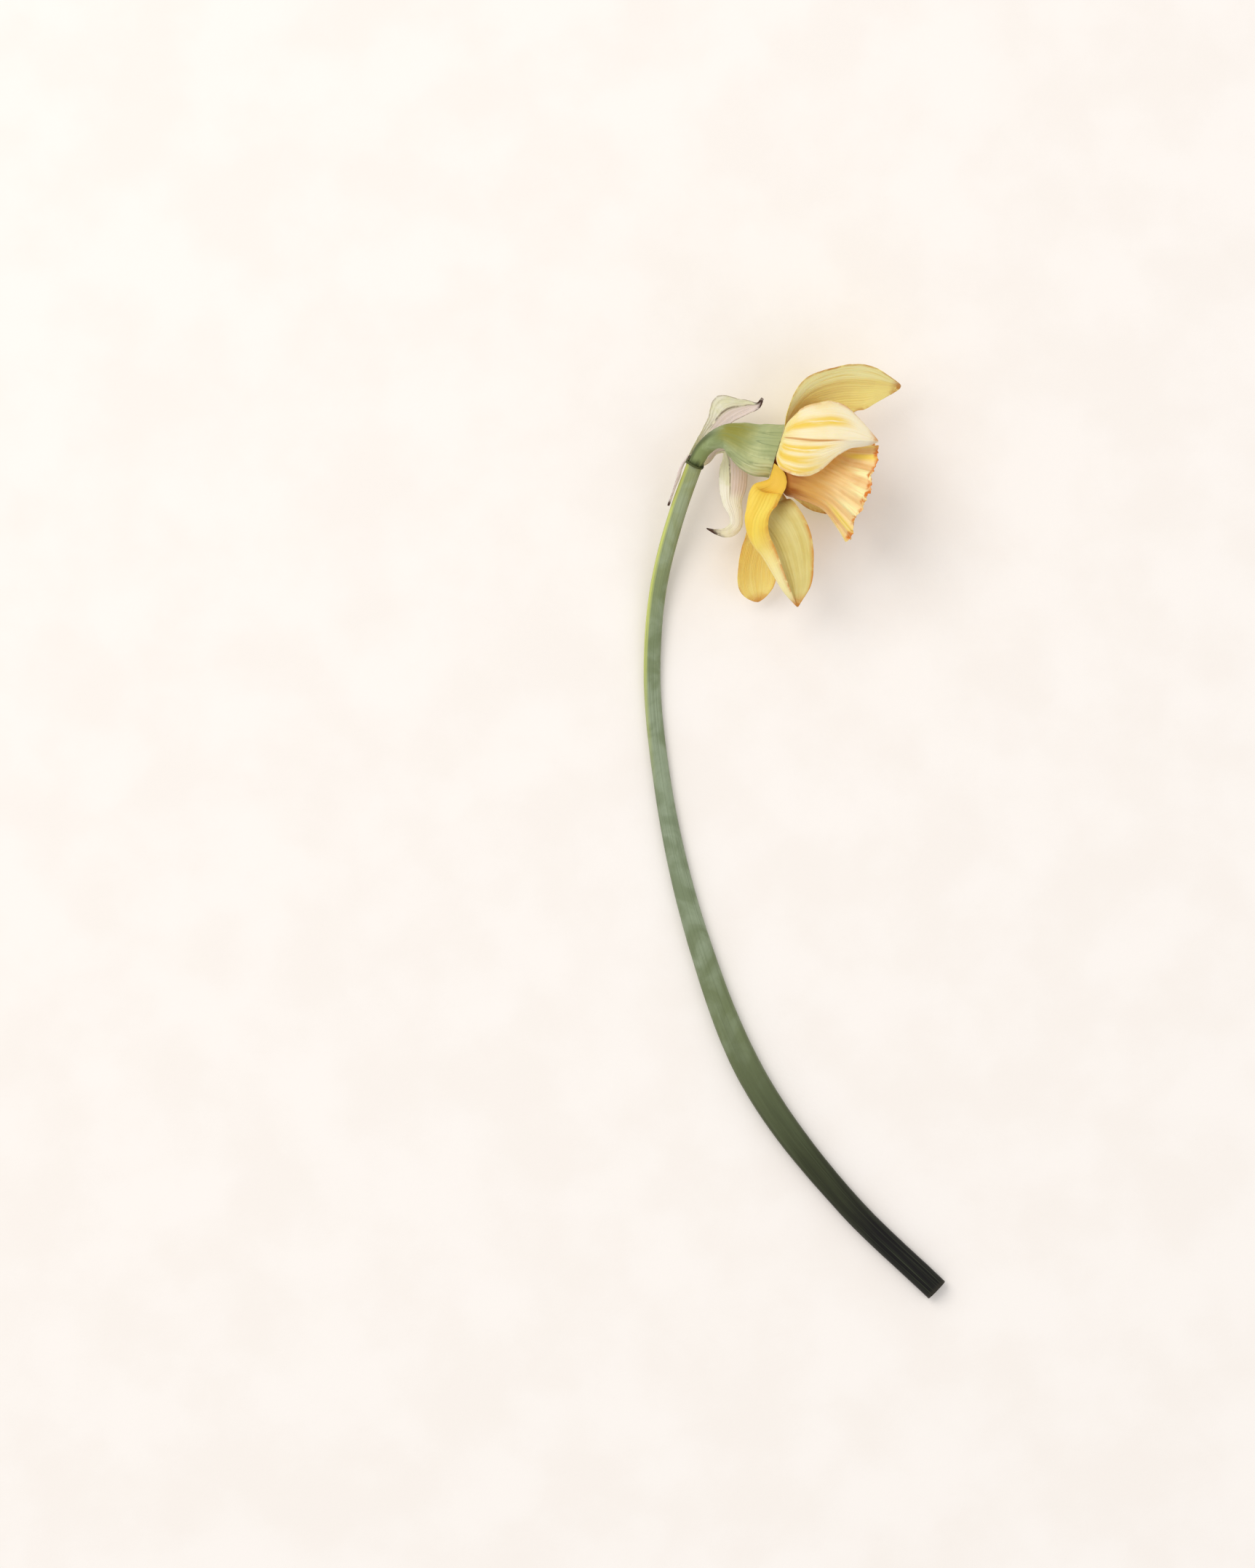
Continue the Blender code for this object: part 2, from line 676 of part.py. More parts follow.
def build_sheath(material, collection):
    """Collar round the joint with an upper lobe and a lower lobe."""
    direction = joint_direction()
    across = unit(np.cross(direction, (0.0, 0.0, 1.0)))
    up = np.cross(across, direction)
    turn = full_turn(NECK_SIDES)
    reach = np.linspace(-1.0, 1.0, 4) * SHEATH_COLLAR_REACH
    circle = np.cos(turn)[:, None] * across + np.sin(turn)[:, None] * up
    collar = np.asarray(JOINT_CENTRE) + reach[:, None, None] * direction + SHEATH_COLLAR_RADIUS * circle
    first, second = np.radians([SHEATH_UPPER_ROOT_DEG, SHEATH_LOWER_ROOT_DEG])
    upper_side = math.cos(first) * up - math.sin(first) * across
    roots = [
        np.asarray(JOINT_CENTRE) + SHEATH_COLLAR_RADIUS * (math.cos(angle) * across + math.sin(angle) * up)
        for angle in (first, second)
    ]
    upper = sheath_grid(
        (roots[0], *SHEATH_UPPER_PATH), SHEATH_UPPER_MARGINS, SHEATH_UPPER_ROLL_DEG, upper_side
    )
    lower = sheath_grid(
        (roots[1], *SHEATH_LOWER_PATH), SHEATH_LOWER_MARGINS, SHEATH_LOWER_ROLL_DEG, direction
    )
    pieces = [
        add_sheet("collar", collar, SHEATH_THICK, material, collection, wrap=True),
        add_sheet("upper_lobe", upper, SHEATH_THICK, material, collection),
        add_sheet("lower_lobe", lower, SHEATH_THICK, material, collection),
    ]
    return fuse("spathe", pieces, material, collection)


def build():
    clear_scene()
    collection = bpy.data.collections.new("daffodil")
    bpy.context.scene.collection.children.link(collection)
    stem_green = make_material("stem_green", (0.25, 0.33, 0.17), 0.5)
    neck_green = make_material("neck_green", (0.33, 0.42, 0.20), 0.5)
    paper_brown = make_material("sheath_paper", (0.72, 0.66, 0.52), 0.7)
    amber = make_material("trumpet_amber", (0.80, 0.45, 0.13), 0.55)
    pollen = make_material("stamen_yellow", (0.88, 0.70, 0.22), 0.7)
    pale_green = make_material("pistil_green", (0.72, 0.76, 0.42), 0.5)
    add_loft("stem", stem_rings(), stem_green, collection)
    add_loft("neck", neck_rings(), neck_green, collection)
    build_sheath(paper_brown, collection)
    trumpet = trumpet_grid(TRUMPET_ROWS, TRUMPET_COLUMNS)
    add_sheet("trumpet", trumpet, TRUMPET_THICK, amber, collection, wrap=True)
    build_stamens(pollen, collection)
    add_loft("pistil", pistil_rings(), pale_green, collection)
    for tepal in TEPALS:
        yellow = make_material(tepal.name, tepal.colour, 0.55)
        grid = tepal_grid(tepal, TEPAL_ROWS, TEPAL_COLUMNS)
        add_sheet(tepal.name, grid, TEPAL_THICK, yellow, collection)


build()
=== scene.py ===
"""Looks of a single cut daffodil that lies on its side on a plain pale surface.

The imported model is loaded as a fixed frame. Each visible piece is a finer surface with the form of
the solid that it stands for, worked out as whole arrays of points in millimetres. The frame has its
origin under the middle of the flower: +Y runs up the stalk, +X is the way the trumpet faces, +Z is up.
"""

import logging
import math
from dataclasses import dataclass, field
from enum import Enum
from typing import Protocol

import bpy
import numpy as np
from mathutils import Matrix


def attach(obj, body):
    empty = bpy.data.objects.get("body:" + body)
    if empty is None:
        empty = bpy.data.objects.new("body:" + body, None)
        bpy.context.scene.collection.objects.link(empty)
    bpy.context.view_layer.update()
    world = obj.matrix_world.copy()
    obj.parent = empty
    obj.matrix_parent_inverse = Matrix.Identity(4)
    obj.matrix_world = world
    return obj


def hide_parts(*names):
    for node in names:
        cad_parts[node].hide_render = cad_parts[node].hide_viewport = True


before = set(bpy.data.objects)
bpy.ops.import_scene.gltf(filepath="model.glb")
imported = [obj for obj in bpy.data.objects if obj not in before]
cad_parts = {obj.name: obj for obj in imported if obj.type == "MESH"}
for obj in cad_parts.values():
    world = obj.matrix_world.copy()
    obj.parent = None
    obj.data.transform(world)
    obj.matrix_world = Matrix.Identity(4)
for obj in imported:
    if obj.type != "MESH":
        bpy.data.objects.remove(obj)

Array = np.ndarray
Colour = tuple[float, float, float, float]
Point = tuple[float, float, float]

MM = 0.001
BODY = "root"

log = logging.getLogger("daffodil")


def srgb(code: str) -> Colour:
    """Linear colour of a six-digit display colour.

    Args:
        code: two hexadecimal digits each for red, green and blue.

    Returns:
        Red, green, blue and a full alpha, each channel raised by the display's own curve.
    """
    shares = [int(code[i : i + 2], 16) / 255 for i in (0, 2, 4)]
    linear = [s / 12.92 if s <= 0.04045 else ((s + 0.055) / 1.055) ** 2.4 for s in shares]
    return (*linear, 1.0)


def unit(vectors: Array) -> Array:
    """Vectors divided by their own lengths."""
    return vectors / np.linalg.norm(vectors, axis=-1, keepdims=True)


def smooth_step(x: Array) -> Array:
    """3x² − 2x³ between 0 and 1, level outside."""
    x = np.clip(x, 0.0, 1.0)
    return x * x * (3 - 2 * x)


def full_turn(count: int) -> Array:
    """Evenly spaced angles once round, without the last one that meets the first."""
    return np.linspace(0.0, 2 * np.pi, count, endpoint=False)


def wander(x: Array, seed: float) -> Array:
    """A slow wobble between about −1 and 1: four sines whose pitches share no common beat.

    Args:
        x: places, where one unit is about one swing of the slowest sine.
        seed: shifts the wobble, so that two edges don't repeat each other.

    Returns:
        The wobble at each place.
    """
    return (
        0.45 * np.sin(6.1 * x + seed)
        + 0.28 * np.sin(14.3 * x + 2.1 * seed)
        + 0.17 * np.sin(31.7 * x + 3.7 * seed)
        + 0.10 * np.sin(67.9 * x + 5.3 * seed)
    )


def smooth_curve(values: Array, stations: Array, places: Array) -> Array:
    """Cubic Hermite curve through the values, with slopes from the neighbouring values.

    Args:
        values: one value or vector for each station.
        stations: rising places of the values.
        places: where the curve is read.

    Returns:
        The curve's value at each place.
    """
    values = np.asarray(values, float)
    stations = np.asarray(stations, float)
    slopes = np.gradient(values, stations, axis=0)
    index = np.clip(np.searchsorted(stations, places) - 1, 0, len(stations) - 2)
    span = stations[index + 1] - stations[index]
    t = (places - stations[index]) / span
    if values.ndim > 1:
        t, span = t[:, None], span[:, None]
    return (
        (2 * t**3 - 3 * t**2 + 1) * values[index]
        + (t**3 - 2 * t**2 + t) * span * slopes[index]
        + (3 * t**2 - 2 * t**3) * values[index + 1]
        + (t**3 - t**2) * span * slopes[index + 1]
    )


def path_through(points: tuple, count: int) -> tuple[Array, Array]:
    """Smooth path through control points.

    Args:
        points: the control points, in millimetres.
        count: number of stations, evenly spaced by the chords' length.

    Returns:
        The stations' points, and the control points' own shares of the length.
    """
    points = np.asarray(points, float)
    chords = np.linalg.norm(np.diff(points, axis=0), axis=1)
    knots = np.concatenate([[0.0], np.cumsum(chords)])
    path = smooth_curve(points, knots, np.linspace(0.0, knots[-1], count))
    return path, knots / knots[-1]


def carried_frames(path: Array, first_side: Array) -> tuple[Array, Array]:
    """Directions along a path that don't turn about it.

    Args:
        path: the stations' points.
        first_side: roughly the side direction at the first station.

    Returns:
        Unit tangents, and unit sides, each the one before it made square to the next tangent.
    """
    tangents = unit(np.gradient(path, axis=0))
    sides = np.empty_like(path)
    side = np.asarray(first_side, float)
    for i, tangent in enumerate(tangents):
        side = unit(side - tangent * (side @ tangent))
        sides[i] = side
    return tangents, sides


def running_sum(steps: Array) -> Array:
    """Trapezium sums along each row, zero at the middle column."""
    total = np.zeros_like(steps)
    total[:, 1:] = np.cumsum((steps[:, 1:] + steps[:, :-1]) / 2, axis=1)
    return total - total[:, [steps.shape[1] // 2]]


def blade_grid(path: Array, first_side: Array, roll: Array, half_width: Array, bend: Array, lift: Array) -> Array:
    """Middle surface of a blade: at each station a line that bends away from straight.

    Each row goes out from the path to both sides in equal steps. A step follows the side direction,
    turned towards the inner face by the bend at its place, so that the row keeps its length.

    Args:
        path: the stations' points along the blade's middle.
        first_side: roughly the side direction at the root.
        roll: turn of each station about the path, in radians.
        half_width: unrolled distance from the middle to the margin, stations × columns.
        bend: for each station and column, the turn towards the inner face, in radians.
        lift: height of each point towards the inner face.

    Returns:
        Stations × columns × 3 points.
    """
    tangents, sides = carried_frames(path, first_side)
    roll = roll[:, None]
    inner = np.cross(sides, tangents)
    sides, inner = (
        sides * np.cos(roll) + np.cross(tangents, sides) * np.sin(roll),
        inner * np.cos(roll) + np.cross(tangents, inner) * np.sin(roll),
    )
    step = 2 * half_width / (bend.shape[1] - 1)
    across = running_sum(np.cos(bend) * step)
    deep = running_sum(np.sin(bend) * step) + lift
    return path[:, None] + sides[:, None] * across[..., None] + inner[:, None] * deep[..., None]


def widths_each_side(first: Array, second: Array, u: Array) -> Array:
    """Stations × columns widths: the first margin's where u is negative, the second one's elsewhere."""
    return np.where(u < 0, first[:, None], second[:, None])


def grid_normals(points: Array, wrap: bool) -> Array:
    """Unit normals of a grid: the step to the next column crossed with the step to the next row."""
    if wrap:
        across = np.roll(points, -1, axis=1) - np.roll(points, 1, axis=1)
    else:
        across = np.gradient(points, axis=1)
    return unit(np.cross(across, np.gradient(points, axis=0)))


@dataclass(frozen=True)
class Surface:
    """A closed skin on a grid of points.

    Attributes:
        points: rows × columns × 3, in millimetres.
        across: share across for each column, with one more where the columns close.
        along: share along for each row, with one more where the rows close.
        rows_close: the last row joins the first, otherwise both end rows are closed by a strip.
        masks: named weights of each point, rows × columns.
    """

    points: Array
    across: Array
    along: Array
    rows_close: bool = False
    masks: dict[str, Array] = field(default_factory=dict)

    def faces(self) -> tuple[Array, Array]:
        """Four-sided faces that point outwards.

        A face joins neighbouring columns of neighbouring rows. An end row is closed by joining its
        columns j and j + 1 to the two that lie opposite. If the skin's signed volume is negative,
        every face is turned round.

        Returns:
            Point numbers, faces × 4, and the share across and along of each corner, faces × 4 × 2.
        """
        rows, columns = self.points.shape[:2]
        i, j = np.meshgrid(np.arange(rows if self.rows_close else rows - 1), np.arange(columns), indexing="ij")
        i, j = i.ravel(), j.ravel()
        row = np.stack([i, i, i + 1, i + 1], axis=-1)
        column = np.stack([j, j + 1, j + 1, j], axis=-1)
        if not self.rows_close:
            k = np.arange(columns // 2 - 1)
            cap = np.stack([k + 1, k, columns - 1 - k, columns - 2 - k], axis=-1)
            row = np.concatenate([row, np.zeros_like(cap), np.full_like(cap, rows - 1)])
            column = np.concatenate([column, cap, cap[:, ::-1]])
        index = (row % rows) * columns + column % columns
        shares = np.stack([self.across[column], self.along[row]], axis=-1)
        flat = self.points.reshape(-1, 3)
        a, b, c, d = (flat[index[:, k]] for k in range(4))
        volume = np.sum(a * (np.cross(b, c) + np.cross(c, d)))
        if volume < 0:
            index, shares = index[:, ::-1], shares[:, ::-1]
        return index, shares


def shell(middle: Array, half: Array, masks: dict[str, Array]) -> Surface:
    """Closed skin round an open blade: out along the inner face and back along the outer face.

    Both faces are the middle surface moved along its normals by half the thickness, which thins
    towards the margins.

    Args:
        middle: stations × columns × 3 points of the middle surface.
        half: half the thickness at each point.
        masks: named weights of each point of the middle surface.

    Returns:
        The skin, with a further mask named inner that is 1 on the inner face and 0 on the outer one.
    """
    shift = grid_normals(middle, False) * half[..., None]
    points = np.concatenate([middle + shift, (middle - shift)[:, ::-1]], axis=1)
    share = np.linspace(0.0, 1.0, middle.shape[1])
    both = {name: np.concatenate([mask, mask[:, ::-1]], axis=1) for name, mask in masks.items()}
    both["inner"] = np.concatenate([np.ones_like(half), np.zeros_like(half)], axis=1)
    across = np.concatenate([share, share[::-1], [0.0]])
    return Surface(points, across, np.linspace(0.0, 1.0, len(middle)), masks=both)


def tube_shell(middle: Array, half: Array, masks: dict[str, Array]) -> Surface:
    """Closed skin round a ring-shaped sheet: up along the outer wall, over the rim and back inside.

    Args:
        middle: rows × columns × 3 points, where the columns close on themselves.
        half: half the wall's thickness at each point.
        masks: named weights of each point of the middle surface.

    Returns:
        The skin, with a further mask named inner that is 1 on the inside wall.
    """
    shift = grid_normals(middle, True) * half[..., None]
    outwards = np.sum(shift * (middle - middle.mean(axis=1, keepdims=True))) > 0
    outer, inner = (middle + shift, middle - shift) if outwards else (middle - shift, middle + shift)
    points = np.concatenate([outer, inner[::-1]])
    both = {name: np.concatenate([mask, mask[::-1]]) for name, mask in masks.items()}
    both["inner"] = np.concatenate([np.zeros_like(half), np.ones_like(half)])
    share = np.linspace(0.0, 1.0, len(middle))
    along = np.concatenate([share, share[::-1], [0.0]])
    return Surface(points, np.linspace(0.0, 1.0, middle.shape[1] + 1), along, rows_close=True, masks=both)


def loft(rings: Array, masks: dict[str, Array] | None = None) -> Surface:
    """Closed skin over rings of equal count, with a flat end on the first and the last."""
    rows, columns = rings.shape[:2]
    return Surface(
        rings, np.linspace(0.0, 1.0, columns + 1), np.linspace(0.0, 1.0, rows), masks=masks or {}
    )


class Finish(Protocol):
    """Anything that can make a material."""

    def material(self) -> bpy.types.Material:
        """The material with its nodes."""


def add_piece(name: str, surfaces: list[Surface], node: str, finish: Finish) -> bpy.types.Object:
    """Makes one object of some surfaces, in metres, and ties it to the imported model.

    Args:
        name: the piece's name.
        surfaces: the skins that it is made of.
        node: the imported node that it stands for.
        finish: what its surface looks like.

    Returns:
        The new object.
    """
    offset = 0
    indices, shares = [], []
    for surface in surfaces:
        index, share = surface.faces()
        indices.append(index + offset)
        shares.append(share)
        offset += surface.points.shape[0] * surface.points.shape[1]
    index = np.concatenate(indices)
    mesh = bpy.data.meshes.new(name)
    points = np.concatenate([surface.points.reshape(-1, 3) for surface in surfaces]) * MM
    mesh.from_pydata(points.tolist(), [], index.tolist())
    layer = mesh.uv_layers.new(name="UVMap")
    layer.data.foreach_set("uv", np.concatenate(shares).ravel())
    for mask in sorted({key for surface in surfaces for key in surface.masks}):
        weights = [s.masks.get(mask, np.zeros(s.points.shape[:2])).ravel() for s in surfaces]
        mesh.attributes.new(mask, "FLOAT", "POINT").data.foreach_set("value", np.concatenate(weights))
    mesh.materials.append(finish.material())
    mesh.shade_smooth()
    mesh.set_sharp_from_angle(angle=math.radians(60))
    piece = bpy.data.objects.new(name, mesh)
    bpy.context.scene.collection.objects.link(piece)
    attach(piece, BODY)
    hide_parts(node)
    log.info("%s: %d points, %d faces", name, offset, len(index))
    return piece


class Recipe:
    """The nodes of one material while it is put together."""

    def __init__(self, name: str) -> None:
        """Starts a material with an empty Principled surface."""
        self.material = bpy.data.materials.new(name)
        self.material.use_nodes = True
        self.tree = self.material.node_tree
        self.shader = self.tree.nodes["Principled BSDF"]

    def add(self, kind: str, inputs: dict, **settings: object) -> bpy.types.Node:
        """Adds a node.

        Args:
            kind: the node's type.
            inputs: socket name or number to a value or to another node's output.
            settings: the node's own properties.

        Returns:
            The node.
        """
        node = self.tree.nodes.new(kind)
        for key, value in settings.items():
            setattr(node, key, value)
        for key, value in inputs.items():
            self.feed(node.inputs[key], value)
        return node

    def feed(self, socket: bpy.types.NodeSocket, value: object) -> None:
        """Links an output to the socket, or sets the socket's own value."""
        if isinstance(value, bpy.types.NodeSocket):
            self.tree.links.new(value, socket)
        else:
            socket.default_value = value

    def mask(self, name: str) -> bpy.types.NodeSocket:
        """A named weight of the mesh's points."""
        return self.add("ShaderNodeAttribute", {}, attribute_name=name).outputs["Fac"]

    def grain(self, scale: float, detail: float = 4.0, warp: float = 0.0) -> bpy.types.NodeSocket:
        """Cloudy noise on Object coordinates, scale in clouds a metre."""
        place = self.add("ShaderNodeTexCoord", {}).outputs["Object"]
        settings = {"Vector": place, "Scale": scale, "Detail": detail, "Distortion": warp}
        return self.add("ShaderNodeTexNoise", settings).outputs["Fac"]

    def streaks(self, across: float, along: float, detail: float = 3.0) -> bpy.types.NodeSocket:
        """Noise drawn out along the piece: so many streaks across it and along it."""
        place = self.add("ShaderNodeUVMap", {}, uv_map="UVMap").outputs["UV"]
        stretched = self.add("ShaderNodeMapping", {"Vector": place, "Scale": (across, along, 1.0)})
        settings = {"Vector": stretched.outputs["Vector"], "Scale": 1.0, "Detail": detail, "Distortion": 0.25}
        return self.add("ShaderNodeTexNoise", settings).outputs["Fac"]

    def spread(self, value: object, low: float, high: float) -> bpy.types.NodeSocket:
        """The value stretched so that low gives 0 and high gives 1, level outside."""
        settings = {"Value": value, "From Min": low, "From Max": high}
        return self.add("ShaderNodeMapRange", settings, interpolation_type="SMOOTHSTEP").outputs["Result"]

    def contour(self, value: object, level: float, width: float) -> bpy.types.NodeSocket:
        """A thin line where the value passes a level."""
        distance = self.calc("ABSOLUTE", self.calc("SUBTRACT", value, level))
        return self.spread(distance, width, 0.0)

    def calc(self, operation: str, first: object, second: object = 0.0) -> bpy.types.NodeSocket:
        """One sum or product of two values."""
        return self.add("ShaderNodeMath", {0: first, 1: second}, operation=operation).outputs[0]

    def times(self, *values: object) -> bpy.types.NodeSocket:
        """The product of some values."""
        product = values[0]
        for value in values[1:]:
            product = self.calc("MULTIPLY", product, value)
        return product

    def blend(self, first: object, second: object, share: float) -> bpy.types.NodeSocket:
        """A sum of two heights, where share is the second one's part."""
        return self.calc("ADD", self.times(first, 1 - share), self.times(second, share))

    def ramp(self, value: object, stops: tuple[tuple[float, Colour], ...]) -> bpy.types.NodeSocket:
        """A colour that runs through the stops as the value rises."""
        node = self.add("ShaderNodeValToRGB", {"Fac": value})
        elements = node.color_ramp.elements
        while len(elements) < len(stops):
            elements.new(1.0)
        for element, (place, colour) in zip(elements, stops):
            element.position = place
            element.color = colour
        return node.outputs["Color"]

    def mix(self, share: object, first: object, second: object, way: str = "MIX") -> bpy.types.NodeSocket:
        """Two colours blended by a share."""
        node = self.add("ShaderNodeMix", {"Factor": share}, data_type="RGBA", blend_type=way)
        self.feed(node.inputs[6], first)
        self.feed(node.inputs[7], second)
        return node.outputs[2]

    def relief(self, height: object, depth_mm: float, strength: float = 1.0) -> bpy.types.NodeSocket:
        """Bump of a height between 0 and 1 over a depth in millimetres."""
        settings = {"Height": height, "Distance": depth_mm * MM, "Strength": strength}
        return self.add("ShaderNodeBump", settings).outputs["Normal"]

    def finish(self, colour: object, normal: object, roughness: object, **constants: object) -> bpy.types.Material:
        """Feeds the surface and gives the material back.

        Args:
            colour: base colour.
            normal: bumped normal.
            roughness: roughness.
            constants: further sockets, spaces in their names written as underscores.

        Returns:
            The material.
        """
        self.feed(self.shader.inputs["Base Color"], colour)
        self.feed(self.shader.inputs["Normal"], normal)
        self.feed(self.shader.inputs["Roughness"], roughness)
        for key, value in constants.items():
            self.shader.inputs[key.replace("_", " ")].default_value = value
        return self.material


@dataclass(frozen=True)
class TepalFinish:
    """A tepal's two faces with veins along them, soft streaks, a stained margin and a darker root.

    Attributes:
        name: the material's name.
        outer, outer_shade, outer_far: light and deep colour of the outer face, and its colour near the tip.
        inner, inner_shade: light and deep colour of the inner face.
        band: colour of the painted highlight along one margin.
        stripe: colour of the broad stripes along the blade.
        line: colour of the narrow line.
        crease: colour of the shadow line beside a rolled margin.
        edge: colour of the stained margin and tip.
        root: colour next to the tube.
        root_weight: how fully the root's colour covers the faces' own.
        stain: how strongly the margin is stained.
    """

    name: str
    outer: Colour
    outer_shade: Colour
    outer_far: Colour
    inner: Colour
    inner_shade: Colour
    # Painted highlight colour along the lit margin.
    band: Colour = srgb("FBF3B4")
    stripe: Colour = srgb("EFCB52")
    line: Colour = srgb("CC9450")
    crease: Colour = srgb("B5772B")
    edge: Colour = srgb("D08A2C")
    root: Colour = srgb("E2C24E")
    root_weight: float = 0.6
    stain: float = 0.85

    def material(self) -> bpy.types.Material:
        """Streaks blend each face's two colours; the masks of the mesh add the markings, a painted highlight along one
        margin and a painted shadow line.
        """
        recipe = Recipe(self.name)
        veins = recipe.streaks(58.0, 2.0, 2.0)
        broad = recipe.streaks(7.0, 1.3, 3.0)
        mottle = recipe.grain(420.0, 6.0, 0.6)
        cloud = recipe.grain(95.0, 4.0, 0.4)
        tone = recipe.spread(recipe.blend(broad, cloud, 0.4), 0.38, 0.62)
        outer = recipe.mix(tone, self.outer, self.outer_shade)
        outer = recipe.mix(recipe.spread(recipe.mask("along"), 0.4, 0.8), outer, self.outer_far)
        inner = recipe.mix(tone, self.inner, self.inner_shade)
        colour = recipe.mix(recipe.mask("inner"), outer, inner)
        colour = recipe.mix(recipe.times(recipe.mask("root"), self.root_weight), colour, self.root)
        torn = recipe.spread(recipe.streaks(22.0, 3.0, 4.0), 0.3, 0.5)
        # Painted highlight along the lit margin.
        colour = recipe.mix(recipe.times(recipe.mask("band"), torn), colour, self.band)
        colour = recipe.mix(recipe.times(recipe.mask("stripe"), torn), colour, self.stripe)
        colour = recipe.mix(recipe.times(recipe.mask("line"), torn), colour, self.line)
        fine = recipe.times(recipe.spread(veins, 0.5, 0.68), 0.2)
        colour = recipe.mix(fine, colour, self.inner_shade, "MULTIPLY")
        # Painted shadow line beside the rolled margin, on the inner face.
        colour = recipe.mix(recipe.times(recipe.mask("crease"), recipe.mask("inner")), colour, self.crease)
        patchy = recipe.spread(recipe.grain(300.0, 5.0, 1.0), 0.32, 0.56)
        colour = recipe.mix(recipe.times(recipe.mask("edge"), patchy, self.stain), colour, self.edge)
        return recipe.finish(
            colour,
            recipe.relief(recipe.blend(veins, mottle, 0.3), 0.16),
            recipe.calc("ADD", recipe.times(mottle, 0.16), 0.42),
            Subsurface_Weight=0.22,
            Subsurface_Radius=(1.0, 0.72, 0.25),
            Subsurface_Scale=1.1 * MM,
            Specular_IOR_Level=0.35,
            Sheen_Weight=0.12,
            Sheen_Roughness=0.4,
        )


@dataclass(frozen=True)
class TrumpetFinish:
    """The corona: burnt orange deepened by painted shade at its base, amber along it, pale wedges near the mouth, an
    orange rim.
    """

    name: str = "trumpet_amber"
    foot_and_shade: Colour = srgb("A65404")
    wall: Colour = srgb("E4AA52")
    light: Colour = srgb("F8D797")
    shadow: Colour = srgb("D6984C")
    wedge: Colour = srgb("FBF0B0")
    gold: Colour = srgb("F6D765")
    rim: Colour = srgb("D67A1E")
    throat: Colour = srgb("D58A34")

    def material(self) -> bpy.types.Material:
        """Colour runs along the wall, then the pleats and the rim are laid over it."""
        recipe = Recipe(self.name)
        along = recipe.mask("along")
        streak = recipe.streaks(120.0, 2.2, 3.0)
        broad = recipe.streaks(26.0, 1.6, 3.0)
        mottle = recipe.grain(380.0, 6.0, 0.6)
        cloud = recipe.grain(110.0, 4.0, 0.5)
        wobble = recipe.times(recipe.calc("SUBTRACT", broad, 0.5), 0.6)
        ragged = recipe.calc("ADD", along, wobble)
        # The base's burnt orange is partly the corona's own colour and partly painted shade.
        colour = recipe.mix(recipe.spread(ragged, 0.1, 0.54), self.foot_and_shade, self.wall)
        colour = recipe.mix(recipe.spread(ragged, 0.45, 0.9), colour, self.light)
        colour = recipe.mix(recipe.times(recipe.spread(cloud, 0.48, 0.7), 0.35), colour, self.shadow)
        # Painted shade in the frills' valleys.
        colour = recipe.mix(recipe.times(recipe.mask("crease"), 0.25), colour, self.shadow)
        torn = recipe.spread(streak, 0.3, 0.52)
        colour = recipe.mix(recipe.times(recipe.mask("wedge"), torn), colour, self.wedge)
        colour = recipe.mix(recipe.times(recipe.mask("gold"), torn), colour, self.gold)
        throat = recipe.mix(recipe.spread(ragged, 0.1, 0.95), self.throat, self.gold)
        colour = recipe.mix(recipe.times(recipe.mask("inner"), 0.75), colour, throat)
        patchy = recipe.spread(recipe.grain(260.0, 5.0, 1.2), 0.34, 0.56)
        colour = recipe.mix(recipe.times(recipe.mask("rim"), patchy), colour, self.rim)
        return recipe.finish(
            colour,
            recipe.relief(recipe.blend(streak, mottle, 0.25), 0.2),
            recipe.calc("ADD", recipe.times(mottle, 0.16), 0.4),
            Subsurface_Weight=0.2,
            Subsurface_Radius=(1.0, 0.5, 0.15),
            Subsurface_Scale=1.2 * MM,
            Specular_IOR_Level=0.35,
            Sheen_Weight=0.1,
            Sheen_Roughness=0.4,
        )


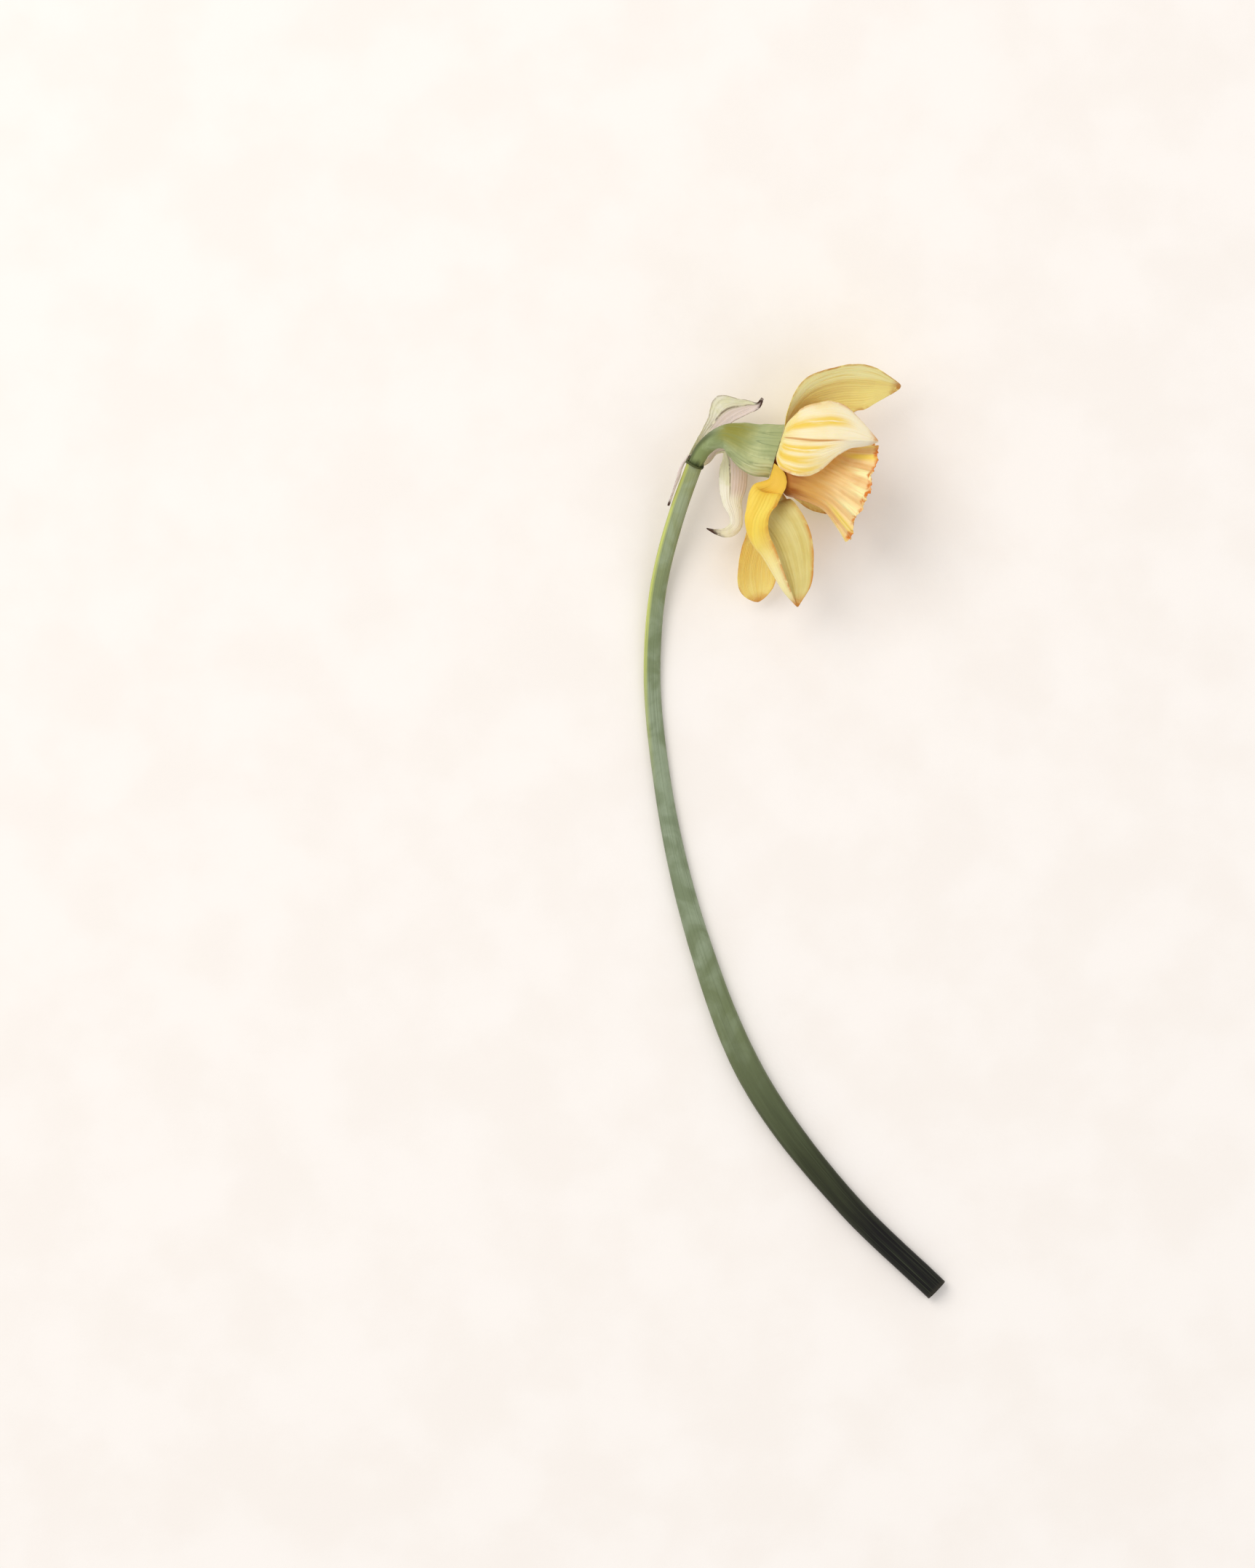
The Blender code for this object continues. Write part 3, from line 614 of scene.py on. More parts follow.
@dataclass(frozen=True)
class StemFinish:
    """The stalk: near-black at the cut, olive above it, then grey-green with a painted yellow-green highlight on its
    left flank.

    Attributes:
        along: colours from the cut end up, by share of the length.
        flank: the painted highlight on the left side near the top.
        bloomy: the waxy bloom that lies on it in patches.
        line: the darker lengthwise lines.
        cut: the cut face.
    """

    name: str = "stem_green"
    along: tuple[tuple[float, Colour], ...] = (
        (0.0, srgb("060302")),
        (0.09, srgb("0B0705")),
        (0.2, srgb("363A22")),
        (0.38, srgb("6E7852")),
        (0.6, srgb("7E8A6C")),
        (0.8, srgb("76825C")),
        (1.0, srgb("989F6E")),
    )
    flank: Colour = srgb("C9D070")
    bloomy: Colour = srgb("A9B59B")
    line: Colour = srgb("565F42")
    cut: Colour = srgb("2E2A20")

    def material(self) -> bpy.types.Material:
        """The run of colours is shifted by streaks; the painted highlight on the flank, the bloom and the lines are
        laid over it.
        """
        recipe = Recipe(self.name)
        lines = recipe.streaks(64.0, 6.0, 3.0)
        broad = recipe.streaks(9.0, 9.0, 4.0)
        mottle = recipe.grain(520.0, 6.0, 0.5)
        cloud = recipe.grain(90.0, 5.0, 0.8)
        place = recipe.calc("ADD", recipe.mask("along"), recipe.times(recipe.calc("SUBTRACT", broad, 0.5), 0.1))
        colour = recipe.ramp(place, self.along)
        waxy = recipe.times(recipe.spread(cloud, 0.4, 0.66), recipe.spread(place, 0.25, 0.5), 0.45)
        colour = recipe.mix(waxy, colour, self.bloomy)
        torn = recipe.spread(lines, 0.3, 0.5)
        # Painted highlight along the left flank near the top.
        colour = recipe.mix(recipe.times(recipe.mask("flank"), torn), colour, self.flank)
        colour = recipe.mix(recipe.times(recipe.spread(lines, 0.5, 0.68), 0.35), colour, self.line)
        colour = recipe.mix(recipe.mask("cut"), colour, self.cut)
        return recipe.finish(
            colour,
            recipe.relief(recipe.blend(lines, mottle, 0.2), 0.14),
            recipe.calc("ADD", recipe.times(mottle, 0.2), 0.38),
            Subsurface_Weight=0.06,
            Subsurface_Radius=(0.8, 0.9, 0.5),
            Subsurface_Scale=1.0 * MM,
            Specular_IOR_Level=0.22,
        )


@dataclass(frozen=True)
class NeckFinish:
    """Neck, seed pod and green tube: olive on the pod, grey-green on the funnel, a painted highlight in pale streaks on
    the funnel's lower side.
    """

    name: str = "neck_green"
    stalk: Colour = srgb("84905A")
    olive: Colour = srgb("8A8420")
    pod: Colour = srgb("A4B082")
    joint: Colour = srgb("38421A")
    tube: Colour = srgb("C3C68E")
    tube_shade: Colour = srgb("A8B07C")
    rib_highlight: Colour = srgb("E2E2B4")
    vein: Colour = srgb("5F6E48")
    mouth: Colour = srgb("C9CF86")

    def material(self) -> bpy.types.Material:
        """Colour runs along the neck; thin dark veins run into the funnel, and a painted highlight in pale streaks lies
        on its lower side.
        """
        recipe = Recipe(self.name)
        streak = recipe.streaks(40.0, 0.9, 3.0)
        broad = recipe.streaks(13.0, 0.7, 2.0)
        mottle = recipe.grain(480.0, 6.0, 0.5)
        cloud = recipe.grain(110.0, 4.0, 0.6)
        along = recipe.mask("along")
        colour = recipe.mix(recipe.spread(cloud, 0.4, 0.6), self.pod, self.stalk)
        wobble = recipe.times(recipe.calc("SUBTRACT", broad, 0.5), 0.5)
        funnel = recipe.spread(recipe.calc("ADD", along, wobble), 0.42, 0.7)
        tube = recipe.mix(recipe.spread(cloud, 0.42, 0.6), self.tube, self.tube_shade)
        colour = recipe.mix(funnel, colour, tube)
        colour = recipe.mix(recipe.times(recipe.mask("olive"), recipe.spread(cloud, 0.2, 0.5), 0.85), colour, self.olive)
        torn = recipe.spread(broad, 0.44, 0.56)
        # Painted highlight in pale streaks on the funnel's lower side.
        colour = recipe.mix(recipe.times(recipe.mask("pale"), torn, 0.85), colour, self.rib_highlight)
        # Painted shade along the stalk's back, in the joint's dark green.
        colour = recipe.mix(recipe.times(recipe.mask("rear"), 0.7), colour, self.joint)
        veins = recipe.times(recipe.contour(broad, 0.47, 0.014), recipe.spread(cloud, 0.36, 0.54))
        colour = recipe.mix(recipe.times(recipe.mask("funnel"), veins, 0.45), colour, self.vein)
        colour = recipe.mix(recipe.times(recipe.spread(streak, 0.5, 0.64), 0.3), colour, self.stalk)
        dark = recipe.spread(recipe.calc("ADD", along, recipe.times(wobble, 0.3)), 0.09, 0.0)
        colour = recipe.mix(dark, colour, self.joint)
        colour = recipe.mix(recipe.mask("mouth"), colour, self.mouth)
        return recipe.finish(
            colour,
            recipe.relief(recipe.blend(streak, mottle, 0.3), 0.07),
            recipe.calc("ADD", recipe.times(mottle, 0.2), 0.44),
            Subsurface_Weight=0.08,
            Subsurface_Radius=(0.8, 0.9, 0.5),
            Subsurface_Scale=1.0 * MM,
            Specular_IOR_Level=0.3,
        )


@dataclass(frozen=True)
class PaperFinish:
    """The dry sheath: cream-green paper with a lilac-grey tint that also stands for painted shade on the lobes'
    folded-under sides, fine lengthwise veins and brown tips.
    """

    name: str = "sheath_paper"
    cream: Colour = srgb("FFF9E6")
    green: Colour = srgb("F2EECB")
    lilac: Colour = srgb("EDDBD2")
    vein: Colour = srgb("BBA493")
    fold: Colour = srgb("8F7A6A")
    tip: Colour = srgb("4E342C")
    joint: Colour = srgb("4C522C")

    def material(self) -> bpy.types.Material:
        """Streaks blend cream, green and lilac; veins, the fold's line and brown tips are laid over."""
        recipe = Recipe(self.name)
        veins = recipe.streaks(34.0, 2.0, 4.0)
        mottle = recipe.grain(600.0, 6.0, 0.8)
        cloud = recipe.grain(120.0, 4.0, 0.6)
        colour = recipe.mix(recipe.spread(cloud, 0.4, 0.62), self.cream, self.green)
        # Lilac-grey tint that also stands for painted shade where a lobe folds away.
        colour = recipe.mix(recipe.mask("lilac"), colour, self.lilac)
        colour = recipe.mix(recipe.times(recipe.spread(veins, 0.52, 0.7), 0.45), colour, self.vein)
        patchy = recipe.spread(recipe.grain(320.0, 5.0, 1.0), 0.3, 0.52)
        colour = recipe.mix(recipe.times(recipe.mask("fold"), patchy), colour, self.fold)
        colour = recipe.mix(recipe.times(recipe.mask("tip"), patchy), colour, self.tip)
        colour = recipe.mix(recipe.mask("green"), colour, self.joint)
        return recipe.finish(
            colour,
            recipe.relief(recipe.blend(veins, mottle, 0.3), 0.2),
            recipe.calc("ADD", recipe.times(mottle, 0.2), 0.55),
            Subsurface_Weight=0.12,
            Subsurface_Radius=(1.0, 0.9, 0.6),
            Subsurface_Scale=0.6 * MM,
            Specular_IOR_Level=0.25,
        )


@dataclass(frozen=True)
class PollenFinish:
    """Stamens: smooth pale filaments and anthers dusted with yellow pollen."""

    name: str = "stamen_yellow"
    filament: Colour = srgb("E6DE9A")
    anther: Colour = srgb("E8B93A")
    dust: Colour = srgb("F6DA6E")

    def material(self) -> bpy.types.Material:
        """The anther's colour is dusted with grains, which also roughen it."""
        recipe = Recipe(self.name)
        grains = recipe.grain(2400.0, 3.0)
        streak = recipe.streaks(8.0, 6.0, 3.0)
        anther = recipe.mix(recipe.spread(grains, 0.42, 0.6), self.anther, self.dust)
        filament = recipe.mix(recipe.times(streak, 0.5), self.filament, self.anther)
        powdery = recipe.mask("anther")
        colour = recipe.mix(powdery, filament, anther)
        height = recipe.mix(powdery, streak, grains)
        return recipe.finish(colour, recipe.relief(height, 0.12), recipe.calc("ADD", recipe.times(powdery, 0.4), 0.42))


@dataclass(frozen=True)
class PistilFinish:
    """Pistil: green style with fine lines and a paler, sticky stigma."""

    name: str = "pistil_green"
    style: Colour = srgb("B9C267")
    line: Colour = srgb("93A24C")
    stigma: Colour = srgb("E4DC92")

    def material(self) -> bpy.types.Material:
        """Lines run along the style; the stigma is pale and rough with small bumps."""
        recipe = Recipe(self.name)
        streak = recipe.streaks(9.0, 5.0, 3.0)
        bumps = recipe.grain(1800.0, 3.0)
        head = recipe.mask("stigma")
        colour = recipe.mix(recipe.spread(streak, 0.4, 0.6), self.style, self.line)
        colour = recipe.mix(head, colour, recipe.mix(recipe.spread(bumps, 0.4, 0.6), self.stigma, self.style))
        height = recipe.mix(head, streak, bumps)
        return recipe.finish(colour, recipe.relief(height, 0.12), recipe.calc("SUBTRACT", 0.45, recipe.times(head, 0.15)))


@dataclass(frozen=True)
class FloorFinish:
    """Plain pale cream surface with a barely visible tooth."""

    name: str = "pale_floor"
    cream: Colour = srgb("FAF3EC")
    shade: Colour = srgb("F7EFE7")

    def material(self) -> bpy.types.Material:
        """Two near-equal creams in soft clouds."""
        recipe = Recipe(self.name)
        cloud = recipe.grain(30.0, 5.0)
        tooth = recipe.grain(900.0, 4.0)
        colour = recipe.mix(recipe.spread(cloud, 0.35, 0.65), self.cream, self.shade)
        return recipe.finish(colour, recipe.relief(tooth, 0.05), 0.9, Specular_IOR_Level=0.1)


@dataclass(frozen=True)
class BloomFrame:
    """Where the bloom sits and which way it faces.

    Attributes:
        centre: the middle of the green tube's mouth, in millimetres.
        turn_deg: turn of the bloom's axis from +X, seen from above.
    """

    centre: Point = (-6.2, 125.1, 24.0)
    turn_deg: float = -17.0

    def axes(self) -> Array:
        """The bloom's axis, the direction up the page square to it, and straight up."""
        turn = math.radians(self.turn_deg)
        return np.array([
            [math.cos(turn), math.sin(turn), 0.0],
            [-math.sin(turn), math.cos(turn), 0.0],
            [0.0, 0.0, 1.0],
        ])

    def place(self, local: Array) -> Array:
        """Points given along the axis, up the page and up, moved into the row's frame."""
        return np.asarray(self.centre) + np.asarray(local, float) @ self.axes()

    def rings(self, stations: Array, radii: Array, turn: Array, offset: tuple = (0.0, 0.0)) -> Array:
        """Rings square to the bloom's axis.

        Args:
            stations: places along the axis.
            radii: radius at each station, or at each station and angle.
            turn: angles round each ring.
            offset: how far the rings' middles lie off the axis, up the page and up.

        Returns:
            Stations × angles × 3 points.
        """
        stations = np.asarray(stations, float)[:, None] + 0 * turn
        radii = np.asarray(radii, float)
        radii = radii if radii.ndim > 1 else radii[:, None]
        across = -radii * np.sin(turn) + np.asarray(offset[0]).reshape(-1, 1)
        high = radii * np.cos(turn) + np.asarray(offset[1]).reshape(-1, 1)
        return self.place(np.stack([stations, across, high], axis=-1))


class Margin(Enum):
    """Which margin of a tepal carries the painted highlight."""

    NONE = 0
    FIRST = -1
    SECOND = 1


@dataclass(frozen=True)
class Stripe:
    """A marking along a tepal: its place across (−1 to 1), half width, and where along it starts and ends."""

    place: float
    half_width: float
    start: float
    end: float

    def weight(self, u: Array, v: Array) -> Array:
        """A bell across the stripe, faded in and out along it, with a slight wobble sideways."""
        middle = self.place + 0.02 * np.sin(9 * v + 5 * self.place)
        bell = np.exp(-(((u - middle) / self.half_width) ** 4))
        return bell * smooth_step((v - self.start) / 0.08) * smooth_step((self.end - v) / 0.25)


@dataclass(frozen=True)
class Tepal:
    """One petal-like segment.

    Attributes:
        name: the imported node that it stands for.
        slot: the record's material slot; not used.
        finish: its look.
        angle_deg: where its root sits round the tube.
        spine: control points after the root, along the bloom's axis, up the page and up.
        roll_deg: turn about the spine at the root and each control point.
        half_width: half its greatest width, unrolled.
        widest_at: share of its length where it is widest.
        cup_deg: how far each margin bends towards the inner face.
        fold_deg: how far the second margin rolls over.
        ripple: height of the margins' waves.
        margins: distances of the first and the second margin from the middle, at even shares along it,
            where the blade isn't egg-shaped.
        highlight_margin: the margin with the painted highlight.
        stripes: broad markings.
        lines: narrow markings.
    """

    name: str
    slot: str
    finish: TepalFinish
    angle_deg: float
    spine: tuple[Point, ...]
    roll_deg: tuple[float, ...]
    half_width: float
    widest_at: float
    cup_deg: float
    fold_deg: float = 0.0
    ripple: float = 0.3
    margins: tuple[tuple[float, ...], ...] = ()
    highlight_margin: Margin = Margin.NONE
    stripes: tuple[Stripe, ...] = ()
    lines: tuple[Stripe, ...] = ()


@dataclass
class TepalWhorl:
    """The six tepals round the tube's mouth."""

    bloom: BloomFrame
    tepals: tuple[Tepal, ...]
    root_radius: float = 7.9
    root_ahead: float = 0.4
    root_half_width: float = 3.6
    tip_half_width: float = 0.3
    thickness: float = 0.5
    margin_thickness: float = 0.14
    midrib_depth: float = 0.3
    rib_depth: float = 0.05
    ribs: int = 11
    fold_places: tuple[float, float] = (-0.15, 0.3)
    fold_begins: float = 0.0
    fold_full_after: float = 0.14
    rows: int = 120
    columns: int = 131

    def width(self, v: Array, u: Array, tepal: Tepal) -> Array:
        """Distance of the margins, stations × columns.

        The blade follows its own margins if it has them. Otherwise it is egg-shaped: a sine up to
        the widest place, then (1 − x^2.2)^0.75 to the pointed tip.
        """
        if tepal.margins:
            first, second = (smooth_curve(m, np.linspace(0.0, 1.0, len(m)), v) for m in tepal.margins)
            return widths_each_side(first, second, u)
        rise = self.root_half_width + (tepal.half_width - self.root_half_width) * np.sin(
            np.pi / 2 * np.clip(v / tepal.widest_at, 0, 1)
        )
        fall = np.clip((v - tepal.widest_at) / (1 - tepal.widest_at), 0, 1)
        egg = self.tip_half_width + (rise - self.tip_half_width) * (1 - fall**2.2) ** 0.75
        return widths_each_side(egg, egg, u)

    def fold_place(self, v: Array) -> Array:
        """Where across the blade a rolled margin starts: near the middle at the root, further out along it."""
        at_root, settled = self.fold_places
        return at_root + (settled - at_root) * smooth_step((v - 0.08) / 0.45)

    def fold_share(self, u: Array, v: Array) -> Array:
        """How far a margin is rolled over at each point, from 0 to 1."""
        v = v[:, None]
        return smooth_step((u - self.fold_place(v)) / 0.45) * smooth_step((v - self.fold_begins) / self.fold_full_after)

    def relief(self, u: Array, v: Array, tepal: Tepal) -> Array:
        """Height towards the inner face.

        Waves grow with the square of the distance from the middle. The midrib is a narrow furrow
        that fades towards the tip, with two shallower ones beside it, and fine ribs run between them.
        """
        growth = smooth_step(v / 0.35)
        waves = tepal.ripple * growth * u**2 * np.sin(5.5 * np.pi * v + 1.3 * np.sign(u))
        flutter = 0.35 * tepal.ripple * growth * np.abs(u) ** 5 * wander(4.0 * v + 3.0 * np.sign(u), tepal.angle_deg)
        middle = np.exp(-((u / 0.055) ** 2)) + 0.5 * np.exp(-(((np.abs(u) - 0.34) / 0.06) ** 2))
        furrow = self.midrib_depth * middle * smooth_step(v / 0.2) * (1 - 0.8 * v)
        fine = self.rib_depth * np.cos(2 * np.pi * self.ribs * u) * smooth_step(v / 0.2) * (1 - v**4)
        return waves + flutter - furrow + fine

    def surface(self, tepal: Tepal) -> Surface:
        """The tepal's skin with its masks.

        Args:
            tepal: the tepal's own sizes.

        Returns:
            The closed skin.
        """
        angle = math.radians(tepal.angle_deg)
        outward = np.array([0.0, math.sin(angle), math.cos(angle)])
        root = outward * self.root_radius + [self.root_ahead, 0, 0]
        path, knots = path_through((root, *tepal.spine), self.rows)
        v = np.linspace(0.0, 1.0, self.rows)
        u = np.linspace(-1.0, 1.0, self.columns)
        grown = smooth_step((v - 0.12) / 0.4)[:, None]
        width = self.width(v, u, tepal) * (1 + 0.012 * wander(2.2 * v, tepal.angle_deg))[:, None]
        bend = math.radians(tepal.cup_deg) * u * grown + math.radians(tepal.fold_deg) * self.fold_share(u, v)
        roll = np.radians(smooth_curve(tepal.roll_deg, knots, v))
        first_side = (0.0, math.cos(angle), -math.sin(angle))
        middle = blade_grid(path, first_side, roll, width, bend, self.relief(u, v[:, None], tepal))
        middle = self.bloom.place(middle)
        half = self.half_thickness(u, v[:, None])
        middle[..., 2] = np.maximum(middle[..., 2], half)
        return shell(middle, half, self.masks(u, v[:, None] + 0 * u, tepal))

    def half_thickness(self, u: Array, v: Array) -> Array:
        """Full in the middle, thin at the margins and the tip: a superellipse in both directions."""
        thin = self.margin_thickness
        swell = np.sqrt(np.clip(1 - np.abs(u) ** 6, 0, 1)) * np.sqrt(np.clip(1 - v**12, 0, 1))
        return (thin + (self.thickness - thin) * swell) / 2

    def masks(self, u: Array, v: Array, tepal: Tepal) -> dict[str, Array]:
        """Weights of the markings, a painted highlight along one margin and a painted shadow line beside a rolled
        margin, at each point of the middle surface.
        """
        u = u + 0 * v
        margin = np.exp(-(((1 - np.abs(u)) / 0.085) ** 2)) * smooth_step(v / 0.3)
        tip = smooth_step((v - 0.9) / 0.1)
        side = tepal.highlight_margin.value
        # Painted highlight along the chosen margin, the one that faces the light.
        band = smooth_step((side * u - 0.15 + 0.12 * np.sin(4 * v)) / 0.3) if side else 0 * u
        fade = smooth_step((1.02 - side * u * 0.9) / 0.3)
        # Painted shadow line just inside the fold.
        crease = np.exp(-(((u - self.fold_place(v) + 0.03) / 0.035) ** 2)) if tepal.fold_deg else 0 * u
        return {
            "along": v,
            "crease": crease * smooth_step((v - 0.2) / 0.1) * smooth_step((0.85 - v) / 0.3),
            "edge": np.maximum(margin * (0.7 + 0.4 * wander(1.7 * v, tepal.angle_deg)), tip),
            "root": 1 - smooth_step((v - 0.1) / 0.22),
            "band": band * fade * smooth_step(v / 0.25),
            "stripe": np.clip(sum((s.weight(u, v) for s in tepal.stripes), 0 * u), 0, 1),
            "line": np.clip(sum((s.weight(u, v) for s in tepal.lines), 0 * u), 0, 1),
        }

    def build(self) -> None:
        """One piece for each tepal."""
        for tepal in self.tepals:
            add_piece(tepal.name + "_blade", [self.surface(tepal)], tepal.name, tepal.finish)


@dataclass
class Trumpet:
    """The corona: a waisted, flaring and pleated tube with a ragged rim."""

    bloom: BloomFrame
    finish: TrumpetFinish
    start: float = 0.15
    length: float = 30.5
    stations: tuple[float, ...] = (0.0, 2.0, 4.0, 6.5, 10.0, 16.0, 21.0, 26.0, 30.5)
    radii: tuple[float, ...] = (5.8, 6.2, 9.6, 11.9, 11.7, 11.0, 11.3, 13.9, 16.6)
    droop: float = 5.0
    bulge: float = 1.7
    bulge_lean: float = 0.6
    lobes: int = 6
    lobe_depth: float = 0.7
    frills: int = 15
    frill_depth: float = 0.7
    folds: int = 45
    fold_depth: float = 0.16
    tooth_length: float = 0.8
    thickness: float = 0.55
    rim_thickness: float = 0.2
    rows: int = 100
    columns: int = 400

    def surface(self) -> Surface:
        """The wall's skin.

        Its radius follows a smooth curve along the axis. Six lobes grow with the square of the
        share along it, fifteen frills with its fifth power and fine folds between them. The rim
        ends in small uneven teeth, and bulges forward on the upper and the lower side.
        """
        t = np.linspace(0.0, 1.0, self.rows)[:, None]
        turn = full_turn(self.columns)[None]
        along = self.start + t * (self.length - self.start)
        lobes = self.lobe_depth * t**2 * np.cos(self.lobes * turn + 0.4)
        frills = self.frill_depth * t**5 * np.cos(self.frills * turn + 1.1)
        fold_turn = self.folds * turn + 0.9 * np.sin(3 * turn) + 0.7 * np.sin(7 * turn + 1.0)
        folds = self.fold_depth * t**1.5 * np.cos(fold_turn)
        radius = smooth_curve(self.radii, self.stations, along[:, 0])[:, None] + lobes + frills + folds
        teeth = self.tooth_length * t**9 * wander(turn / (2 * np.pi) * 6 + np.sin(turn), 0.7)
        bulge = self.bulge * t**2 * np.cos(turn) ** 2 * (1 + self.bulge_lean * np.sin(turn))
        local = np.stack(
            [
                along + 0.6 * lobes + bulge + teeth,
                radius * np.sin(turn) - self.droop * t**1.4,
                radius * np.cos(turn),
            ],
            axis=-1,
        )
        half = (self.thickness + (self.rim_thickness - self.thickness) * t**6) / 2 + 0 * turn
        return tube_shell(self.bloom.place(local), half, self.masks(t, turn))

    def masks(self, t: Array, turn: Array) -> dict[str, Array]:
        """Weights of the pleats' markings: painted shade in the frills' valleys, wedges on every other crest."""
        frill = np.cos(self.frills * turn + 1.1)
        choice = wander(turn / (2 * np.pi) * 3 + 0 * t, 2.3)
        wedge = smooth_step((frill + 0.1) / 0.9) * smooth_step((t - 0.68 - 0.14 * choice) / 0.2)
        return {
            "along": t + 0 * turn,
            # Painted shade in the frills' valleys.
            "crease": smooth_step((-frill - 0.2) / 0.7) * smooth_step((t - 0.55) / 0.3),
            "wedge": wedge * smooth_step((choice + 0.2) / 0.3),
            "gold": wedge * smooth_step((-choice) / 0.3),
            "rim": smooth_step((t - 0.955 + 0.02 * wander(turn, 1.1)) / 0.03),
        }

    def build(self) -> None:
        """One piece."""
        add_piece("trumpet_wall", [self.surface()], "trumpet", self.finish)


@dataclass
class Joint:
    """The joint between stem and neck, where the sheath grows."""

    centre: Point = (-32.9, 121.3, 15.2)
    direction_hint: Point = (0.43, 0.85, 0.32)
    gap: float = 0.3

    def direction(self) -> Array:
        """Unit direction from the stem to the neck."""
        return unit(np.asarray(self.direction_hint))

    def pressed(self, ring: Array, behind: float) -> Array:
        """A ring's points moved onto the plane square to the joint, so far behind its centre."""
        direction = self.direction()
        point = np.asarray(self.centre) - direction * behind
        return ring - np.outer((ring - point) @ direction, direction)


@dataclass
class Stem:
    """The leafless stalk: an oval tube with two blunt edges, and a pith hole in the cut."""

    joint: Joint
    finish: StemFinish
    path: tuple[Point, ...] = (
        (46.9, -150.5, 0.0),
        (17.6, -122.2, 0.0),
        (-13.8, -80.2, 0.0),
        (-31.6, -35.3, 0.0),
        (-43.8, 18.7, 0.0),
        (-46.9, 53.0, 0.3),
        (-45.0, 79.8, 2.6),
        (-38.2, 106.7, 8.6),
        (-32.9, 121.3, 13.3),
    )
    half_widths: tuple[float, ...] = (3.7, 3.8, 4.3, 3.5, 2.7, 2.6, 2.6, 2.6, 2.5)
    flatness: float = 0.78
    edge_rise: float = 0.05
    sink_share: float = 0.13
    rib_share: float = 0.012
    ribs: int = 16
    pith_share: float = 0.5
    pith_depth: float = 2.0
    rows: int = 380
    sides: int = 96

    def surface(self) -> Surface:
        """The stalk's skin.

        An oval ring at each station has a blunt edge on both sides, made by a second harmonic, and
        low ribs, made by a sixteenth. Its points are kept on or above the floor. At the cut the skin
        turns in to the pith hole.
        """
        points, knots = path_through(self.path, self.rows)
        v = np.linspace(0.0, 1.0, self.rows)
        width = smooth_curve(self.half_widths, knots, v)
        path = points.copy()
        path[:, 2] += width * self.flatness * (1 - self.sink_share)
        width = width[:, None]
        tangents = unit(np.gradient(path, axis=0))
        sides = unit(np.cross(tangents, (0.0, 0.0, 1.0)))
        ups = np.cross(sides, tangents)
        turn = full_turn(self.sides)[None]
        edge = 1 + self.edge_rise * np.cos(2 * turn) + self.rib_share * np.cos(self.ribs * turn)
        edge = edge * (1 + 0.008 * wander(9.0 * v, 1.9)[:, None])
        rings = (
            path[:, None]
            + (width * edge * np.cos(turn))[..., None] * sides[:, None]
            + (width * edge * self.flatness * np.sin(turn))[..., None] * ups[:, None]
        )
        rings[..., 2] = np.maximum(rings[..., 2], 0.0)
        rings[-1] = self.joint.pressed(rings[-1], self.joint.gap)
        centre = path[0]
        rim = centre + (rings[0] - centre) * self.pith_share
        floor = centre + (rim - centre) * 0.7 + tangents[0] * self.pith_depth
        lip = centre + (rings[0] - centre) * 0.94 - tangents[0] * 0.12
        rings = np.concatenate([[floor], [rim], [lip], rings])
        return loft(rings, self.masks(np.concatenate([[0.0, 0.0, 0.0], v])[:, None], turn))

    def masks(self, v: Array, turn: Array) -> dict[str, Array]:
        """The share along, and the weights of the painted highlight on the left flank and of the cut."""
        cut = np.zeros((len(v), turn.shape[1]))
        cut[:2] = 1.0
        return {
            "along": v + 0 * turn,
            # Painted highlight on the left side near the top.
            "flank": smooth_step((-np.cos(turn) - 0.5) / 0.35) * smooth_step((v - 0.62) / 0.2),
            "cut": np.maximum(cut, 1 - smooth_step(v / 0.006) + 0 * turn),
        }

    def build(self) -> None:
        """One piece."""
        add_piece("stem_stalk", [self.surface()], "stem", self.finish)


